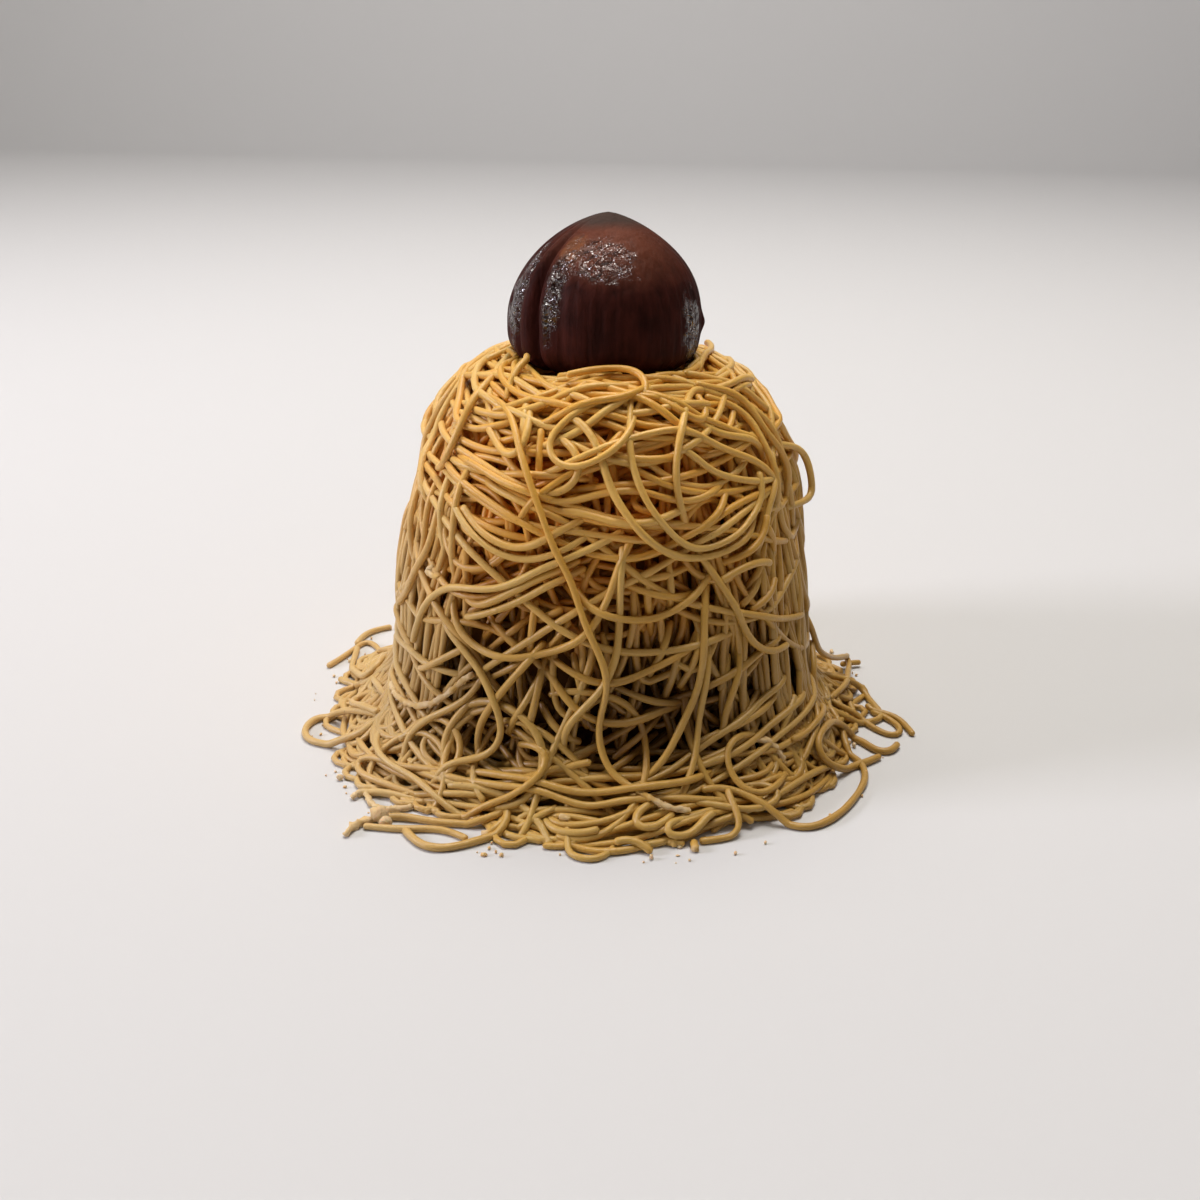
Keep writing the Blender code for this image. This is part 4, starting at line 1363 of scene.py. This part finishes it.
def chestnut_finish(colours):
    """A glazed inner skin: dark red-brown, wet in places, with a matte grey-brown point, painted shade in the
    grooves and painted light on the upper front.
    """
    finish = Finish("glazed_chestnut_skin", Specular_IOR_Level=0.06)
    place = finish.place()
    fibres = finish.node("ShaderNodeMapping", {}, Vector=place, Scale=(1.0, 1.0, 0.16))
    streaks = finish.noise(900.0, 3.0, fibres)
    mottle = finish.noise(170.0, 3.0)
    dark = tuple(c * 0.35 for c in colours.chestnut)
    colour = finish.mix(finish.between(streaks * 0.5 + mottle * 0.6, 0.4, 0.75), dark, colours.chestnut)
    # Painted shade: the grooves are darkened, as the creases are in shade.
    colour = finish.mix(finish.attribute("groove") * 0.8, colour, colours.groove)
    # Painted light: the upper front is mixed towards a lighter, redder colour, where the light falls on it.
    lit = finish.attribute("lit")
    colour = finish.mix(finish.between(lit + mottle * 0.4, 0.4, 1.3), colour, colours.upper_painted_light)
    orange = finish.between(finish.attribute("worn") + streaks * 0.9, 0.75, 1.15)
    colour = finish.mix(orange * 0.75, colour, colours.worn)
    tip = finish.between(finish.attribute("tip") + mottle * 0.7, 0.6, 1.2)
    colour = finish.mix(tip, colour, colours.tip)
    finish.set("Base Color", colour)
    finish.set("Roughness", 0.45 + 0.25 * mottle + 0.3 * tip)
    finish.bump(mottle + streaks * 0.5, 0.0006)
    wet = finish.attribute("wet")
    beads = finish.between(finish.noise(1700.0, 1.0), 0.52, 0.7)
    runny = wet * (0.1 + 1.8 * finish.noise(400.0, 2.0)) + 0.5 * mottle - tip
    glaze = finish.over(finish.between(runny, 0.72, 1.08), Specular_IOR_Level=0.85)
    finish.feed(glaze.inputs["Base Color"], colour)
    finish.feed(glaze.inputs["Roughness"], 0.03 + 0.1 * mottle)
    ripples = finish.noise(430.0, 2.0)
    finish.bump(beads * 0.35 + 2.1 * ripples + streaks * 0.2, 0.0016, shader=glaze)
    return finish.material


# Operators


class CAKE_OT_stage(bpy.types.Operator):
    """Adds a pale floor with plain walls round it, the soft lights and the camera"""

    bl_idname = "cake.stage"
    bl_label = "Set the Stage"

    def execute(self, context):
        colours = context.scene.cake_colours
        bpy.ops.object.select_all(action="DESELECT")
        bpy.ops.mesh.primitive_plane_add(size=4, location=(0, -0.6, 0))
        floor = context.active_object
        floor.name = "pale_floor"
        bpy.ops.object.mode_set(mode="EDIT")
        bpy.ops.mesh.select_all(action="SELECT")
        bpy.ops.mesh.extrude_region_move(TRANSFORM_OT_translate={"value": (0, 0, 2)})
        bpy.ops.object.mode_set(mode="OBJECT")
        bpy.ops.object.transform_apply(location=True)
        bpy.ops.object.shade_smooth()
        finish = Finish("pale_floor", Roughness=0.7)
        finish.set("Base Color", (*colours.floor, 1))
        floor.data.materials.append(finish.material)

        world = bpy.data.worlds.new("soft_room")
        context.scene.world = world
        world.use_nodes = True
        world.node_tree.nodes["Background"].inputs["Color"].default_value = (1.0, 0.97, 0.93, 1)
        world.node_tree.nodes["Background"].inputs["Strength"].default_value = 0.12

        for name, place, target, size, power, colour in LIGHTS:
            bpy.ops.object.light_add(type="AREA", location=place)
            light = context.active_object
            light.name = name
            light.data.size = size
            light.data.energy = power
            light.data.color = colour
            aim = Vector(target) - Vector(place)
            light.rotation_euler = aim.to_track_quat("-Z", "Y").to_euler()

        right, up, forward = camera_axes()
        camera = bpy.data.cameras.new("photo_camera")
        camera.sensor_fit = "HORIZONTAL"
        camera.sensor_width = SENSOR_WIDTH
        camera.lens = SENSOR_WIDTH * FOCAL_PIXELS / IMAGE_PIXELS
        camera.clip_start = 0.01
        viewer = bpy.data.objects.new("photo_camera", camera)
        context.scene.collection.objects.link(viewer)
        turned = Matrix((right, up, -forward)).transposed().to_4x4()
        viewer.matrix_world = Matrix.Translation(Vector(CAMERA_PLACE) * MM) @ turned
        context.scene.camera = viewer
        context.scene.view_settings.view_transform = "Standard"
        return {"FINISHED"}


class CAKE_OT_strands(bpy.types.Operator):
    """Lays the cream strands, layer over layer, and makes their meshes"""

    bl_idname = "cake.strands"
    bl_label = "Lay the Strands"

    def execute(self, context):
        sizes = context.scene.cake_sizes
        draw = np.random.default_rng(sizes.seed)
        pile = StrandPile(draw, HeightMap(core_depth), sizes.strand_width / MM / 2, sizes.sink / MM)
        soft = {"bend_radius": 7.0, "share_over": 0.35}
        draped = {"bend_radius": 12.0, "share_over": 0.6, "tube_step": 1.2}
        taut = {"bend_radius": 40.0, "share_over": 0.6, "tube_step": 1.2}
        pressed = {"bend_radius": 9.0, "share_over": 0.8, "tube_step": 1.4, "cap": side_cap, "lowest": -3.0}
        lay_many(
            pile, "inner", inner_path, sizes.inner_length, 1000, 0.08, cap=inner_cap, tube_step=1.9, **soft
        )
        lay_many(pile, "skirt", skirt_path, 5, 300, cap=-1.6, tube_step=1.5, **soft)
        for depth, metres in ((-7.5, 0.6), (-5.5, 0.5), (-3.6, 0.4), (-2.2, 0.3)):
            lay_many(pile, "curtain", curtain_path, metres, 90, cap=depth + 3.0, lowest=depth, **taut)
        lay_many(pile, "flanks", flank_path, 16, 300, 0.1, **pressed)
        lay_many(pile, "back", back_path, 14, 300, **pressed)
        lay_many(pile, "front", sweep_path, 5, 260, 0.3, cap=-3.0, lowest=-5.0, **draped)
        lay_many(pile, "front", front_path, 4, 260, 0.3, cap=-2.6, lowest=-5.0, **draped)
        lay_many(pile, "skirt", skirt_path, 7, 420, cap=skirt_cap, tube_step=1.4, **soft)
        lay_many(pile, "skirt", curl_path, 1.2, 120, cap=skirt_cap, tuck=(1.0, 1.0), **draped)
        lay_many(pile, "loops", loop_path, 3, 200, 0.2, cap=side_cap, lowest=-2.5, **draped)
        lay_many(pile, "shoulder", shoulder_path, 7, 420, cap=shoulder_cap, lowest=-1.2, **draped)
        lay_many(pile, "nest", nest_path, 3, 260, cap=2.0, tube_step=1.1, tuck=(1.6, 1.6), **soft)
        lay_traced(pile)
        cream = cream_finish(context.scene.cake_colours)
        limits = {"inner": 6, "flanks": 7, "front": 8, "back": 7, "loops": 8, "shoulder": 8, "skirt": 7,
                  "nest": 8, "curtain": 7, "traced": 8}
        for group, strands in pile.groups.items():
            made = tube_mesh("strands_" + group, strands, limits[group], draw)
            made.data.materials.append(cream)
            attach(made, "root")
            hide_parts("strand_heap")
        core = core_mesh("heap_core")
        core.data.materials.append(core_finish(context.scene.cake_colours))
        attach(core, "root")
        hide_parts("strand_heap")
        return {"FINISHED"}


class CAKE_OT_chestnut(bpy.types.Operator):
    """Shapes and glazes the chestnut"""

    bl_idname = "cake.chestnut"
    bl_label = "Shape the Chestnut"

    def execute(self, context):
        bpy.ops.object.select_all(action="DESELECT")
        bpy.ops.mesh.primitive_uv_sphere_add(segments=224, ring_count=130, radius=1)
        chestnut = context.active_object
        chestnut.name = "whole_chestnut"
        shape_chestnut(chestnut)
        bpy.ops.object.shade_smooth()
        chestnut.data.materials.append(chestnut_finish(context.scene.cake_colours))
        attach(chestnut, "root")
        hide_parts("chestnut")
        return {"FINISHED"}


class CAKE_OT_crumbs(bpy.types.Operator):
    """Scatters the crumbs round the foot"""

    bl_idname = "cake.crumbs"
    bl_label = "Scatter the Crumbs"

    def execute(self, context):
        made = crumb_mesh("crumbs", np.random.default_rng(context.scene.cake_sizes.seed + 1))
        made.data.materials.append(crumb_finish(context.scene.cake_colours))
        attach(made, "root")
        return {"FINISHED"}


class CAKE_PT_sidebar(bpy.types.Panel):
    """Sizes, colours and steps in the sidebar"""

    bl_idname = "CAKE_PT_sidebar"
    bl_label = "Mont Blanc Cake"
    bl_space_type = "VIEW_3D"
    bl_region_type = "UI"
    bl_category = "Cake"

    def draw(self, context):
        for group in (context.scene.cake_sizes, context.scene.cake_colours):
            box = self.layout.box()
            for name in group.bl_rna.properties.keys():
                if name not in ("rna_type", "name"):
                    box.prop(group, name)
        for step in STEPS:
            self.layout.operator(step.bl_idname)


STEPS = (CAKE_OT_stage, CAKE_OT_strands, CAKE_OT_chestnut, CAKE_OT_crumbs)
CLASSES = (CakeSizes, CakeColours, *STEPS, CAKE_PT_sidebar)


def register():
    for known in CLASSES:
        bpy.utils.register_class(known)
    bpy.types.Scene.cake_sizes = PointerProperty(type=CakeSizes)
    bpy.types.Scene.cake_colours = PointerProperty(type=CakeColours)


def unregister():
    del bpy.types.Scene.cake_colours
    del bpy.types.Scene.cake_sizes
    for known in reversed(CLASSES):
        bpy.utils.unregister_class(known)


def main():
    register()
    bpy.ops.cake.stage()
    bpy.ops.cake.strands()
    bpy.ops.cake.chestnut()
    bpy.ops.cake.crumbs()


if __name__ == "__main__":
    main()
